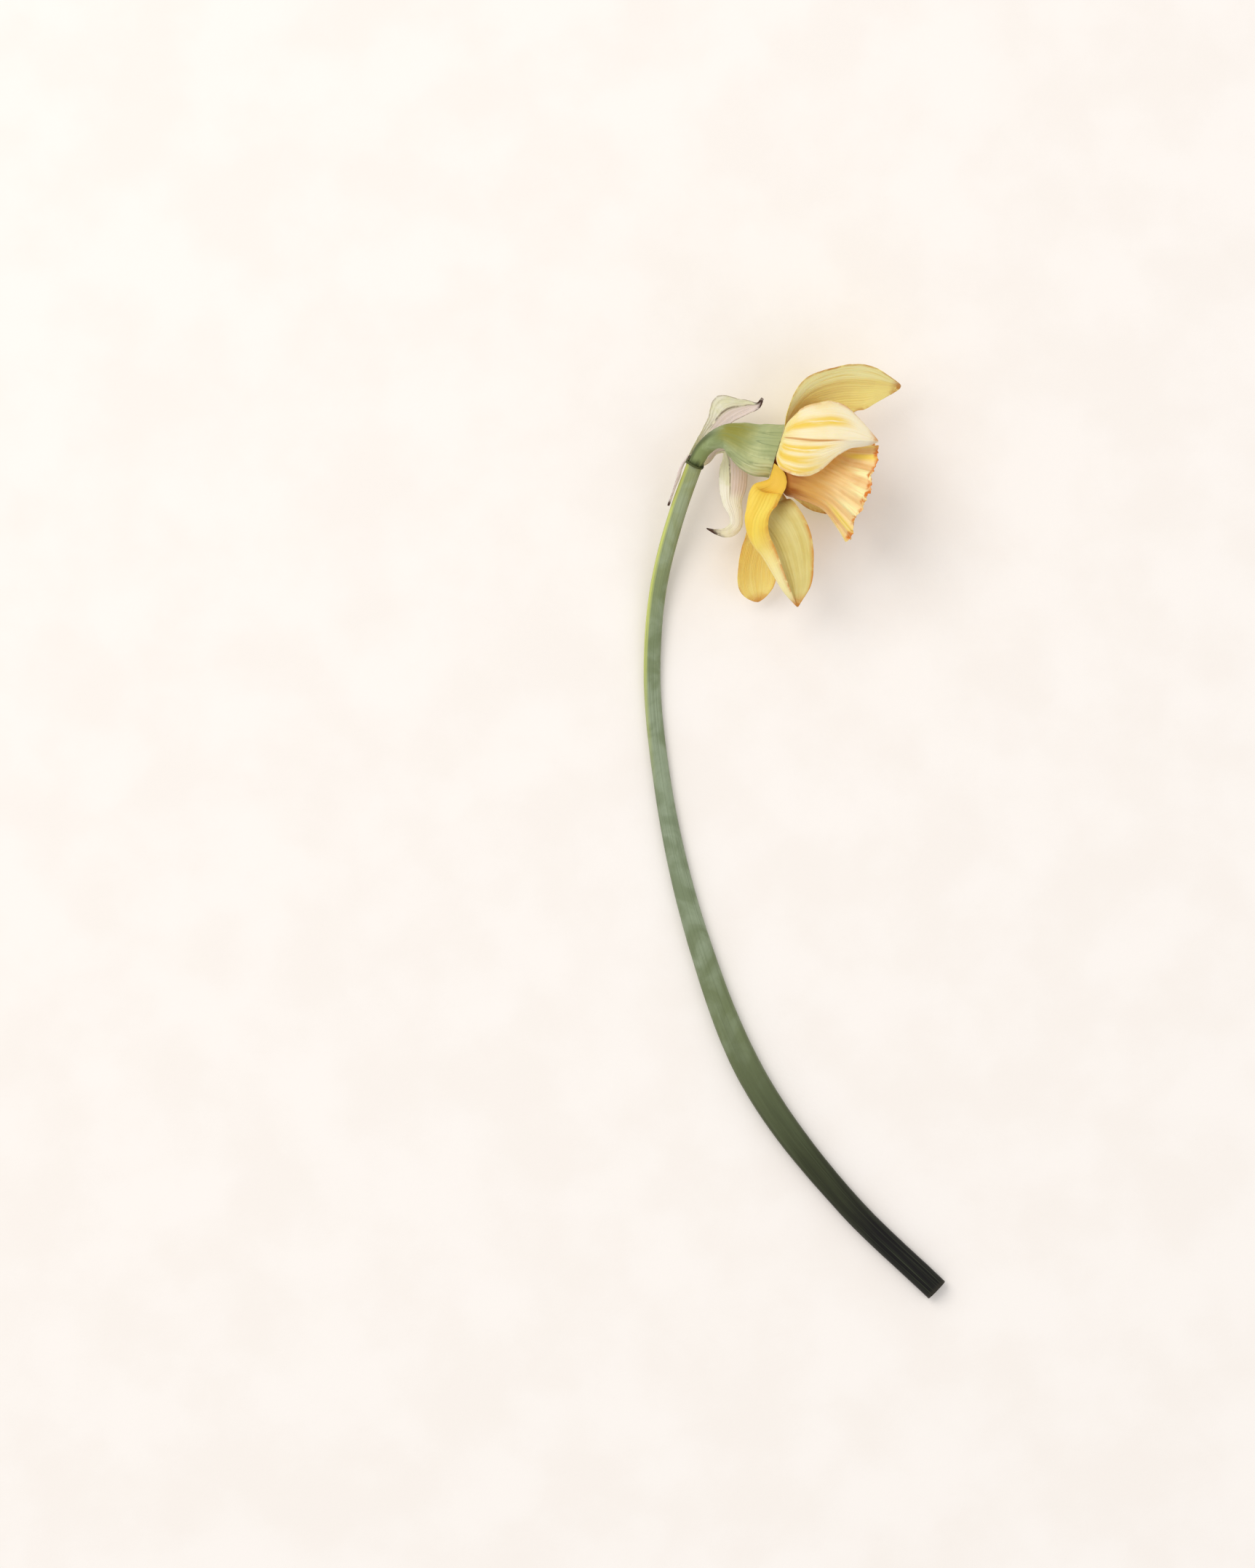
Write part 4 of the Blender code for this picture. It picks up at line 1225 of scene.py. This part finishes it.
@dataclass
class Neck:
    """Flower stalk, seed pod and green tube, which grow as one."""

    bloom: BloomFrame
    joint: Joint
    finish: NeckFinish
    path_after_joint: tuple[Point, ...] = (
        (-29.8, 126.4, 17.5),
        (-26.5, 129.0, 19.5),
        (-22.2, 129.8, 21.5),
        (-18.7, 128.6, 22.8),
        (-12.8, 125.8, 23.8),
    )
    radii: tuple[float, ...] = (2.5, 2.7, 3.1, 4.5, 6.3, 8.4, 9.1)
    ribs: int = 12
    rib_depth: float = 0.14
    olive_turn: float = -0.95
    fine_rib_share: float = 0.012
    bore_radius: float = 5.3
    bore_depth: float = 11.0
    floor_radius: float = 2.6
    rows: int = 150
    sides: int = 144
    bore_rows: int = 24

    def bore(self, share: Array) -> Array:
        """Radius inside the tube, from its mouth at 0 to its floor at 1."""
        return self.bore_radius + (self.floor_radius - self.bore_radius) * share

    def surface(self) -> Surface:
        """The skin from the joint to the tube's mouth and back down inside.

        Ribs fade in from half way. Rings near the mouth turn from square to the path to square to
        the bloom's axis.
        """
        path, knots = path_through((self.joint.centre, *self.path_after_joint, self.bloom.centre), self.rows)
        v = np.linspace(0.0, 1.0, self.rows)
        radii = smooth_curve(self.radii, knots, v)[:, None]
        tangents, sides = carried_frames(path, (0.0, 0.0, 1.0))
        other = np.cross(tangents, sides)
        turn = full_turn(self.sides)
        ribbed = smooth_step((v - 0.5) * 2)[:, None]
        share = self.rib_depth / self.radii[-1] * ribbed * np.cos(self.ribs * turn)
        fine = self.fine_rib_share * smooth_step((v - 0.2) * 2)[:, None] * np.cos(3 * self.ribs * turn + 0.6)
        radii = radii * (1 + share + fine)
        rings = (
            path[:, None]
            + (radii * np.cos(turn))[..., None] * sides[:, None]
            + (radii * np.sin(turn))[..., None] * other[:, None]
        )
        rings[0] = self.joint.pressed(rings[0], 0.0)
        turned = smooth_step((v - 0.6) / 0.4)[:, None]
        normals = unit(tangents * (1 - turned) + self.bloom.axes()[0] * turned)[:, None]
        rings[1:] -= (np.sum((rings - path[:, None]) * normals, axis=-1, keepdims=True) * normals)[1:]
        depth = np.linspace(0.0, 1.0, self.bore_rows)
        inside = self.bloom.rings(-depth * self.bore_depth, self.bore(depth), turn)
        return loft(np.concatenate([rings, inside]), self.masks(v[:, None], turn[None]))

    def masks(self, v: Array, turn: Array) -> dict[str, Array]:
        """The place along the neck, and the weights of its markings and of the bore.

        The pod's back is olive, the stalk's back carries painted shade and the funnel's lower side a painted highlight.
        """
        back = smooth_step((np.cos(turn - self.olive_turn) - 0.45) / 0.5)
        # Painted shade along the stalk's back.
        rear = smooth_step((np.cos(turn + 1.5) - 0.45) / 0.4)
        # Painted highlight on the funnel's lower side.
        lower = smooth_step((np.cos(turn - 0.9) - 0.3) / 0.5)
        outside = {
            "along": v + 0 * turn,
            "funnel": smooth_step((v - 0.45) / 0.3) + 0 * turn,
            "olive": back * smooth_step((v - 0.36) / 0.16) * smooth_step((0.84 - v) / 0.25),
            "rear": rear * smooth_step((v - 0.01) / 0.06) * smooth_step((0.5 - v) / 0.2),
            "pale": lower * smooth_step((v - 0.62) / 0.18) * smooth_step((1.02 - v) / 0.1),
            "mouth": 0 * v + 0 * turn,
        }
        bore = np.ones((self.bore_rows, self.sides))
        inside = {name: 0 * bore for name in outside} | {"along": bore, "mouth": bore}
        return {name: np.concatenate([outside[name], inside[name]]) for name in outside}

    def build(self) -> None:
        """One piece."""
        add_piece("neck_and_tube", [self.surface()], "neck", self.finish)


@dataclass(frozen=True)
class Lobe:
    """One lobe of the sheath.

    Attributes:
        name: the piece's name.
        root_deg: where it leaves the collar.
        path: control points of its middle line after the root.
        first_margin, second_margin: distances from the middle line at the root and each control point.
        roll_deg: turn about the middle line at the same places.
        follows_joint: whether its root lies along the joint instead of round it.
        lilac_side: the margin towards which the lilac tint with its painted shade lies.
        lilac_from: how far across the lilac tint and painted shade start.
        lilac_reach: where along the lobe it starts and ends.
    """

    name: str
    root_deg: float
    path: tuple[Point, ...]
    first_margin: tuple[float, ...]
    second_margin: tuple[float, ...]
    roll_deg: tuple[float, ...]
    follows_joint: bool
    lilac_side: int
    lilac_from: float
    lilac_reach: tuple[float, float]


@dataclass
class Sheath:
    """The papery sheath: a collar round the joint that splits into two lobes."""

    joint: Joint
    finish: PaperFinish
    lobes: tuple[Lobe, ...]
    collar_radius: float = 3.35
    collar_reach: float = 1.5
    collar_front: float = 0.22
    collar_pinch: float = 0.3
    thickness: float = 0.42
    margin_thickness: float = 0.12
    bend_deg: float = 40.0
    crumple: float = 0.12
    rows: int = 130
    columns: int = 61
    collar_rows: int = 24
    collar_sides: int = 120

    def around(self, angle_deg: float) -> tuple[Array, Array]:
        """The outward and the sideways direction at an angle round the joint."""
        direction = self.joint.direction()
        across = unit(np.cross(direction, (0.0, 0.0, 1.0)))
        up = np.cross(across, direction)
        angle = math.radians(angle_deg)
        outward = math.cos(angle) * across + math.sin(angle) * up
        return outward, math.cos(angle) * up - math.sin(angle) * across

    def lobe_surface(self, lobe: Lobe) -> Surface:
        """A lobe's skin: a bent blade, crumpled by waves that run along it and grow towards the margins."""
        outward, side = self.around(lobe.root_deg)
        root = np.asarray(self.joint.centre) + self.collar_radius * outward
        path, knots = path_through((root, *lobe.path), self.rows)
        v = np.linspace(0.0, 1.0, self.rows)
        u = np.linspace(-1.0, 1.0, self.columns)
        bend = math.radians(self.bend_deg) * u * np.ones_like(v)[:, None]
        waves = 0.25 * smooth_step(v / 0.2)[:, None] * u**2 * np.sin(9 * v[:, None] + np.sign(u))
        ribs = 0.05 * np.cos(2 * np.pi * 5 * u) * (1 - v[:, None] ** 3)
        crumple = self.crumple * wander(2.6 * v[:, None] + 0.5 * u, lobe.root_deg) * (0.3 + u**2)
        first, second = (smooth_curve(m, knots, v) for m in (lobe.first_margin, lobe.second_margin))
        uneven = 1 + 0.03 * wander(3.0 * v, lobe.root_deg)
        width = widths_each_side(first * uneven, second * uneven, u)
        roll = np.radians(smooth_curve(lobe.roll_deg, knots, v))
        first_side = self.joint.direction() if lobe.follows_joint else side
        middle = blade_grid(path, first_side, roll, width, bend, waves + ribs + crumple)
        thin = self.margin_thickness
        swell = np.sqrt(np.clip(1 - np.abs(u) ** 6, 0, 1)) * np.sqrt(np.clip(1 - v[:, None] ** 12, 0, 1))
        share = v[:, None] + 0 * u
        crease = lobe.lilac_side * u - lobe.lilac_from + 0.1 * np.sin(7 * share)
        shaded = smooth_step((share - lobe.lilac_reach[0]) / 0.1) * smooth_step((lobe.lilac_reach[1] - share) / 0.1)
        margin = np.exp(-(((1 - np.abs(u)) / 0.05) ** 2)) * smooth_step((share - 0.2) / 0.3)
        masks = {
            "tip": smooth_step((share - 0.88 + 0.05 * np.abs(u)) / 0.1),
            # Lilac tint and painted shade on the folded-under side of the crease.
            "lilac": smooth_step(crease / 0.12) * shaded,
            "fold": np.maximum(np.exp(-((crease / 0.04) ** 2)) * shaded, 0.6 * margin),
        }
        return shell(middle, (thin + (self.thickness - thin) * swell) / 2, masks)

    def collar_surface(self) -> Surface:
        """A ring round the joint, puckered, a hair high towards the viewer and longer on the stem's far left."""
        direction = self.joint.direction()
        across = unit(np.cross(direction, (0.0, 0.0, 1.0)))
        up = np.cross(across, direction)
        turn = full_turn(self.collar_sides)
        hidden = smooth_step((0.35 - np.sin(turn) - 0.6 * np.cos(turn)) / 1.2)
        reach = self.collar_reach * (self.collar_front + (1 - self.collar_front) * hidden)
        reach = reach * (1 + 0.25 * wander(turn / 2, 2.0))
        share = np.linspace(-1.0, 1.0, self.collar_rows)[:, None]
        circle = np.cos(turn)[:, None] * across + np.sin(turn)[:, None] * up
        radius = self.collar_radius - self.collar_pinch * (1 - hidden) + 0.05 * np.cos(11 * turn) * share**2
        middle = np.asarray(self.joint.centre) + (share * reach)[..., None] * direction + radius[..., None] * circle
        half = (self.margin_thickness + (self.thickness - self.margin_thickness) * hidden) / 2 + 0 * radius
        masks = {"lilac": np.full(radius.shape, 0.8), "green": smooth_step(1.4 - 1.6 * hidden) + 0 * radius}
        return tube_shell(middle, half, masks)

    def build(self) -> None:
        """One piece for the collar and one for each lobe."""
        add_piece("sheath_collar", [self.collar_surface()], "spathe", self.finish)
        for lobe in self.lobes:
            add_piece(lobe.name, [self.lobe_surface(lobe)], "spathe", self.finish)


@dataclass
class Stamens:
    """Six stamens that grow from one lining of the tube."""

    bloom: BloomFrame
    neck: Neck
    finish: PollenFinish
    count: int = 6
    first_angle: float = 0.3
    stations: tuple[float, ...] = (-6.6, -2.0, 6.0, 8.0, 9.5, 13.0, 16.5, 18.0)
    offsets: tuple[float, ...] = (2.7, 3.1, 3.0, 2.9, 2.9, 2.9, 3.0, 3.1)
    radii: tuple[float, ...] = (0.5, 0.5, 0.5, 0.6, 1.1, 1.2, 1.0, 0.4)
    anther_start: float = 8.0
    lining_reach: tuple[float, float] = (-8.0, -5.0)
    lining_thick: float = 0.8
    gap: float = 0.3
    rows: int = 64
    sides: int = 24

    def stamen(self, index: int) -> Surface:
        """Slender filament and a long anther, whose section has two furrows."""
        stations = np.linspace(self.stations[0], self.stations[-1], self.rows)
        offset = smooth_curve(self.offsets, self.stations, stations)
        radii = smooth_curve(self.radii, self.stations, stations)[:, None]
        angle = 2 * math.pi * index / self.count + self.first_angle
        turn = full_turn(self.sides)
        powdery = smooth_step((stations - self.anther_start) / 1.0)[:, None]
        furrowed = radii * (1 - 0.22 * powdery * np.abs(np.cos(turn + angle)) ** 6)
        moved = (offset * math.sin(angle), offset * math.cos(angle))
        return loft(self.bloom.rings(stations, furrowed, turn, moved), {"anther": powdery + 0 * turn})

    def lining(self) -> Surface:
        """Short sleeve inside the tube."""
        stations = np.linspace(*self.lining_reach, 10)
        clearance = self.gap + self.lining_thick / 2
        turn = full_turn(96)
        radii = self.neck.bore(-stations / self.neck.bore_depth) - clearance
        middle = self.bloom.rings(stations, radii, turn)
        return tube_shell(middle, np.full(middle.shape[:2], self.lining_thick / 2), {})

    def build(self) -> None:
        """One piece, because the stamens share their lining."""
        surfaces = [self.lining(), *(self.stamen(index) for index in range(self.count))]
        add_piece("stamen_ring", surfaces, "stamens", self.finish)


@dataclass
class Pistil:
    """Style with a stigma of three lobes."""

    bloom: BloomFrame
    finish: PistilFinish
    stations: tuple[float, ...] = (-10.7, -9.0, 17.0, 19.0, 20.5, 21.5)
    radii: tuple[float, ...] = (1.0, 0.75, 0.75, 1.3, 1.6, 0.9)
    lobes: int = 3
    lobe_share: float = 0.2
    lobes_from: float = 16.0
    rows: int = 90
    sides: int = 36

    def surface(self) -> Surface:
        """Rings whose radius swells into the lobes over the last few millimetres."""
        stations = np.linspace(self.stations[0], self.stations[-1], self.rows)
        radii = smooth_curve(self.radii, self.stations, stations)[:, None]
        turn = full_turn(self.sides)
        lobed = smooth_step((stations - self.lobes_from) / 3.0)[:, None]
        rings = self.bloom.rings(stations, radii * (1 + self.lobe_share * lobed * np.cos(self.lobes * turn)), turn)
        return loft(rings, {"stigma": smooth_step((stations - 18.0) / 1.5)[:, None] + 0 * turn})

    def build(self) -> None:
        """One piece."""
        add_piece("pistil_style", [self.surface()], "pistil", self.finish)


@dataclass
class Stage:
    """Camera straight above, pale floor and soft light.

    Attributes:
        camera_place: the camera in millimetres, over the middle of the photograph.
        lens: focal length in millimetres, for a long side of 36.
        floor_size: side of the floor in metres.
        lights: name, place in metres, size in metres, power in watts and colour.
    """

    camera_place: Point = (-55.0, 16.3, 2587.2)
    lens: float = 180.0
    long_side: float = 36.0
    floor_size: float = 8.0
    floor_drop: float = 0.05
    target: Point = (0.0, 0.05, 0.0)
    sky: Colour = (0.97, 0.98, 1.0, 1.0)
    sky_strength: float = 0.74
    lights: tuple = (
        ("key_light", (-1.1, 1.0, 1.9), 1.5, 22.0, (1.0, 0.98, 0.95)),
        ("fill_light", (1.4, -0.9, 1.6), 1.8, 6.0, (0.97, 0.98, 1.0)),
    )

    def add_camera(self) -> None:
        """Straight down, with +Y up the picture."""
        camera = bpy.data.cameras.new("camera")
        camera.lens = self.lens
        camera.sensor_width = self.long_side
        camera.clip_end = 100.0
        holder = bpy.data.objects.new("camera", camera)
        holder.location = [value * MM for value in self.camera_place]
        bpy.context.scene.collection.objects.link(holder)
        bpy.context.scene.camera = holder

    def add_floor(self) -> None:
        """One flat square, a hair below the flower's lowest points."""
        half = self.floor_size / 2
        low = -self.floor_drop * MM
        corners = [(-half, -half, low), (half, -half, low), (half, half, low), (-half, half, low)]
        mesh = bpy.data.meshes.new("floor")
        mesh.from_pydata(corners, [], [(0, 1, 2, 3)])
        mesh.materials.append(FloorFinish().material())
        floor = bpy.data.objects.new("floor", mesh)
        bpy.context.scene.collection.objects.link(floor)

    def add_lights(self) -> None:
        """Large soft squares that point at the flower, and an even sky."""
        for name, place, size, power, colour in self.lights:
            light = bpy.data.lights.new(name, "AREA")
            light.shape = "SQUARE"
            light.size = size
            light.energy = power
            light.color = colour
            holder = bpy.data.objects.new(name, light)
            holder.location = place
            away = np.asarray(place) - np.asarray(self.target)
            holder.rotation_euler = (
                math.atan2(math.hypot(away[0], away[1]), away[2]),
                0.0,
                math.atan2(away[1], away[0]) + math.pi / 2,
            )
            bpy.context.scene.collection.objects.link(holder)
        world = bpy.data.worlds.new("sky")
        world.use_nodes = True
        background = world.node_tree.nodes["Background"]
        background.inputs["Color"].default_value = self.sky
        background.inputs["Strength"].default_value = self.sky_strength
        bpy.context.scene.world = world

    def build(self) -> None:
        """Camera, floor, lights and sky, shown with plain display colours."""
        bpy.context.scene.view_settings.view_transform = "Standard"
        self.add_camera()
        self.add_floor()
        self.add_lights()


CREAM = TepalFinish(
    "tepal_cream",
    outer=srgb("F9EAC2"),
    outer_shade=srgb("F3DB9A"),
    outer_far=srgb("F8E9C6"),
    inner=srgb("FAEDAE"),
    inner_shade=srgb("F2DF8C"),
    root=srgb("F3E27C"),
    edge=srgb("D48A30"),
)
PALE_YELLOW = TepalFinish(
    "tepal_yellow",
    outer=srgb("F7E87C"),
    outer_shade=srgb("EBD87A"),
    outer_far=srgb("F4E6A0"),
    inner=srgb("F6E48C"),
    inner_shade=srgb("EBD684"),
    root=srgb("DDBB48"),
    edge=srgb("BC7A22"),
    stain=1.0,
)
GOLD = TepalFinish(
    "tepal_gold_and_shaded_khaki",
    outer=srgb("F8D95A"),
    outer_shade=srgb("F0C845"),
    outer_far=srgb("FAE8A8"),
    # Painted light: the bright gold outer face is the lit side and the khaki inner face the shaded side of this rolled
    # tepal.
    inner=srgb("E3D48A"),
    inner_shade=srgb("D6C26C"),
    root=srgb("F2C444"),
    root_weight=1.0,
    edge=srgb("C97C1C"),
    stain=1.0,
)
DEEP_GOLD = TepalFinish(
    "tepal_gold",
    outer=srgb("F6DC70"),
    outer_shade=srgb("EEC95C"),
    outer_far=srgb("F8E07C"),
    inner=srgb("F8E086"),
    inner_shade=srgb("F0CF66"),
    root=srgb("E3A740"),
    edge=srgb("CF8A34"),
)

TEPALS = (
    Tepal(
        "tepal_front",
        "tepal_cream",
        CREAM,
        25.0,
        (
            (0.6, 4.2, 11.0),
            (2.9, 4.6, 15.6),
            (8.5, 5.9, 18.4),
            (16.0, 8.1, 18.6),
            (23.5, 10.2, 16.6),
            (30.5, 12.1, 13.4),
        ),
        (0, 0, 0, 4, 8, 10, 10),
        half_width=14.6,
        widest_at=0.6,
        cup_deg=42,
        ripple=0.2,
        margins=(
            (5.6, 7.6, 11.3, 12.3, 10.4, 6.1, 3.0, 2.0, 0.3),
            (3.6, 6.2, 10.6, 13.4, 14.5, 14.6, 13.0, 7.6, 0.3),
        ),
        stripes=(
            Stripe(0.4, 0.12, 0.08, 0.86),
            Stripe(-0.3, 0.1, 0.12, 0.7),
            Stripe(-0.58, 0.11, 0.1, 0.56),
            Stripe(-0.84, 0.09, 0.1, 0.6),
        ),
        lines=(Stripe(-0.02, 0.03, 0.12, 0.8),),
    ),
    Tepal(
        "tepal_top",
        "tepal_yellow",
        PALE_YELLOW,
        85.0,
        ((1.0, 13.5, 2.0), (5.0, 21.0, 3.4), (12.0, 26.4, 2.6), (22.0, 29.8, 0.4), (32.6, 32.1, -2.0)),
        (0, -15, -40, -52, -52, -45),
        half_width=10.5,
        widest_at=0.5,
        cup_deg=30,
        ripple=0.6,
        # Painted highlight along the first margin, which faces the light.
        highlight_margin=Margin.FIRST,
    ),
    Tepal(
        "tepal_lower_front",
        "tepal_gold",
        GOLD,
        308.0,
        (
            (0.5, -9.6, 6.9),
            (-3.8, -13.4, 7.4),
            (-1.2, -20.6, 5.9),
            (8.8, -29.3, 4.0),
            (15.8, -38.3, 1.8),
            (21.4, -46.6, -2.0),
        ),
        (0, 0, 20, 35, 62, 70, 70),
        half_width=12.8,
        widest_at=0.38,
        cup_deg=20,
        fold_deg=150,
        ripple=0.3,
        margins=(
            (3.6, 7.5, 11.0, 12.6, 12.5, 11.5, 9.6, 6.4, 0.3),
            (3.6, 8.6, 14.6, 16.4, 14.8, 12.0, 9.4, 6.2, 0.3),
        ),
    ),
    Tepal(
        "tepal_lower_back",
        "tepal_gold",
        DEEP_GOLD,
        248.0,
        (
            (1.0, -9.8, -3.8),
            (0.8, -13.2, -4.8),
            (2.0, -19.4, -6.2),
            (3.8, -28.6, -9.2),
            (5.0, -39.2, -12.8),
            (8.8, -48.4, -17.8),
        ),
        (0, 0, 25, 55, 62, 62, 60),
        half_width=7.4,
        widest_at=0.74,
        cup_deg=20,
        ripple=0.5,
    ),
    Tepal(
        "tepal_under",
        "tepal_yellow",
        PALE_YELLOW,
        195.0,
        ((5.0, -3.0, -14.5), (12.0, -4.6, -20.5), (18.5, -6.8, -23.2), (25.5, -8.4, -23.7), (31.0, -9.4, -23.0)),
        (0, 0, 0, 0, 0, 0),
        half_width=9.8,
        widest_at=0.5,
        cup_deg=24,
        ripple=0.2,
    ),
    Tepal(
        "tepal_back",
        "tepal_yellow",
        PALE_YELLOW,
        140.0,
        ((2.1, 11.0, -12.5), (5.0, 16.5, -18.5), (11.0, 22.0, -22.8), (18.0, 25.5, -23.7), (25.0, 28.0, -22.8)),
        (0, -10, -25, -35, -35, -35),
        half_width=8.0,
        widest_at=0.5,
        cup_deg=24,
        ripple=0.2,
    ),
)

LOBES = (
    Lobe(
        "sheath_upper_lobe",
        233.0,
        (
            (-30.3, 128.0, 11.6),
            (-25.7, 133.0, 11.8),
            (-20.6, 137.0, 13.2),
            (-15.6, 139.4, 16.2),
            (-11.9, 140.6, 18.8),
            (-10.7, 142.6, 20.4),
        ),
        first_margin=(2.2, 3.5, 4.8, 9.2, 3.8, 0.9, 0.4),
        second_margin=(1.2, 1.2, 1.6, 1.8, 1.8, 1.2, 0.4),
        roll_deg=(0, -16, -32, -36, -40, -50, -50),
        follows_joint=False,
        lilac_side=1,
        lilac_from=-0.42,
        lilac_reach=(0.3, 1.2),
    ),
    Lobe(
        "sheath_lower_lobe",
        307.0,
        (
            (-28.0, 122.7, 9.1),
            (-25.6, 125.9, 8.5),
            (-22.6, 126.6, 8.2),
            (-20.6, 124.0, 8.4),
            (-20.0, 119.5, 9.0),
            (-20.2, 114.5, 9.2),
            (-20.5, 109.7, 9.3),
            (-19.4, 105.0, 9.4),
            (-19.4, 101.6, 9.8),
            (-22.0, 99.3, 10.8),
            (-25.5, 99.2, 12.0),
            (-29.0, 100.2, 13.4),
        ),
        first_margin=(1.6, 1.4, 1.5, 2.0, 3.8, 4.9, 4.9, 3.8, 2.4, 2.2, 1.8, 1.2, 0.4),
        second_margin=(1.6, 1.4, 1.5, 2.0, 3.8, 4.9, 4.9, 3.8, 2.6, 2.4, 2.0, 1.2, 0.4),
        roll_deg=(0, -5, -40, -66, -78, -80, -80, -80, -80, -80, -76, -70, -60),
        follows_joint=True,
        lilac_side=1,
        lilac_from=-0.25,
        lilac_reach=(0.0, 0.62),
    ),
    Lobe(
        "sheath_strip",
        190.0,
        ((-37.0, 120.4, 15.5), (-38.0, 117.2, 14.4), (-39.4, 113.6, 13.2), (-40.4, 110.7, 12.3), (-41.4, 107.7, 11.4)),
        first_margin=(0.5, 1.0, 1.2, 1.1, 0.8, 0.3),
        second_margin=(0.5, 1.0, 1.2, 1.0, 0.7, 0.3),
        roll_deg=(0, 0, 0, 0, 0, 0),
        follows_joint=False,
        lilac_side=1,
        lilac_from=-1.5,
        lilac_reach=(-0.2, 1.4),
    ),
)


def main() -> None:
    """Builds the stage, then the flower from the cut end to the stigma."""
    logging.basicConfig(level=logging.INFO, format="%(name)s: %(message)s")
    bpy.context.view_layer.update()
    bloom = BloomFrame()
    joint = Joint()
    neck = Neck(bloom, joint, NeckFinish())
    parts = (
        Stage(),
        Stem(joint, StemFinish()),
        neck,
        Sheath(joint, PaperFinish(), LOBES),
        TepalWhorl(bloom, TEPALS),
        Trumpet(bloom, TrumpetFinish()),
        Stamens(bloom, neck, PollenFinish()),
        Pistil(bloom, PistilFinish()),
    )
    for part in parts:
        part.build()


if __name__ == "__main__":
    main()
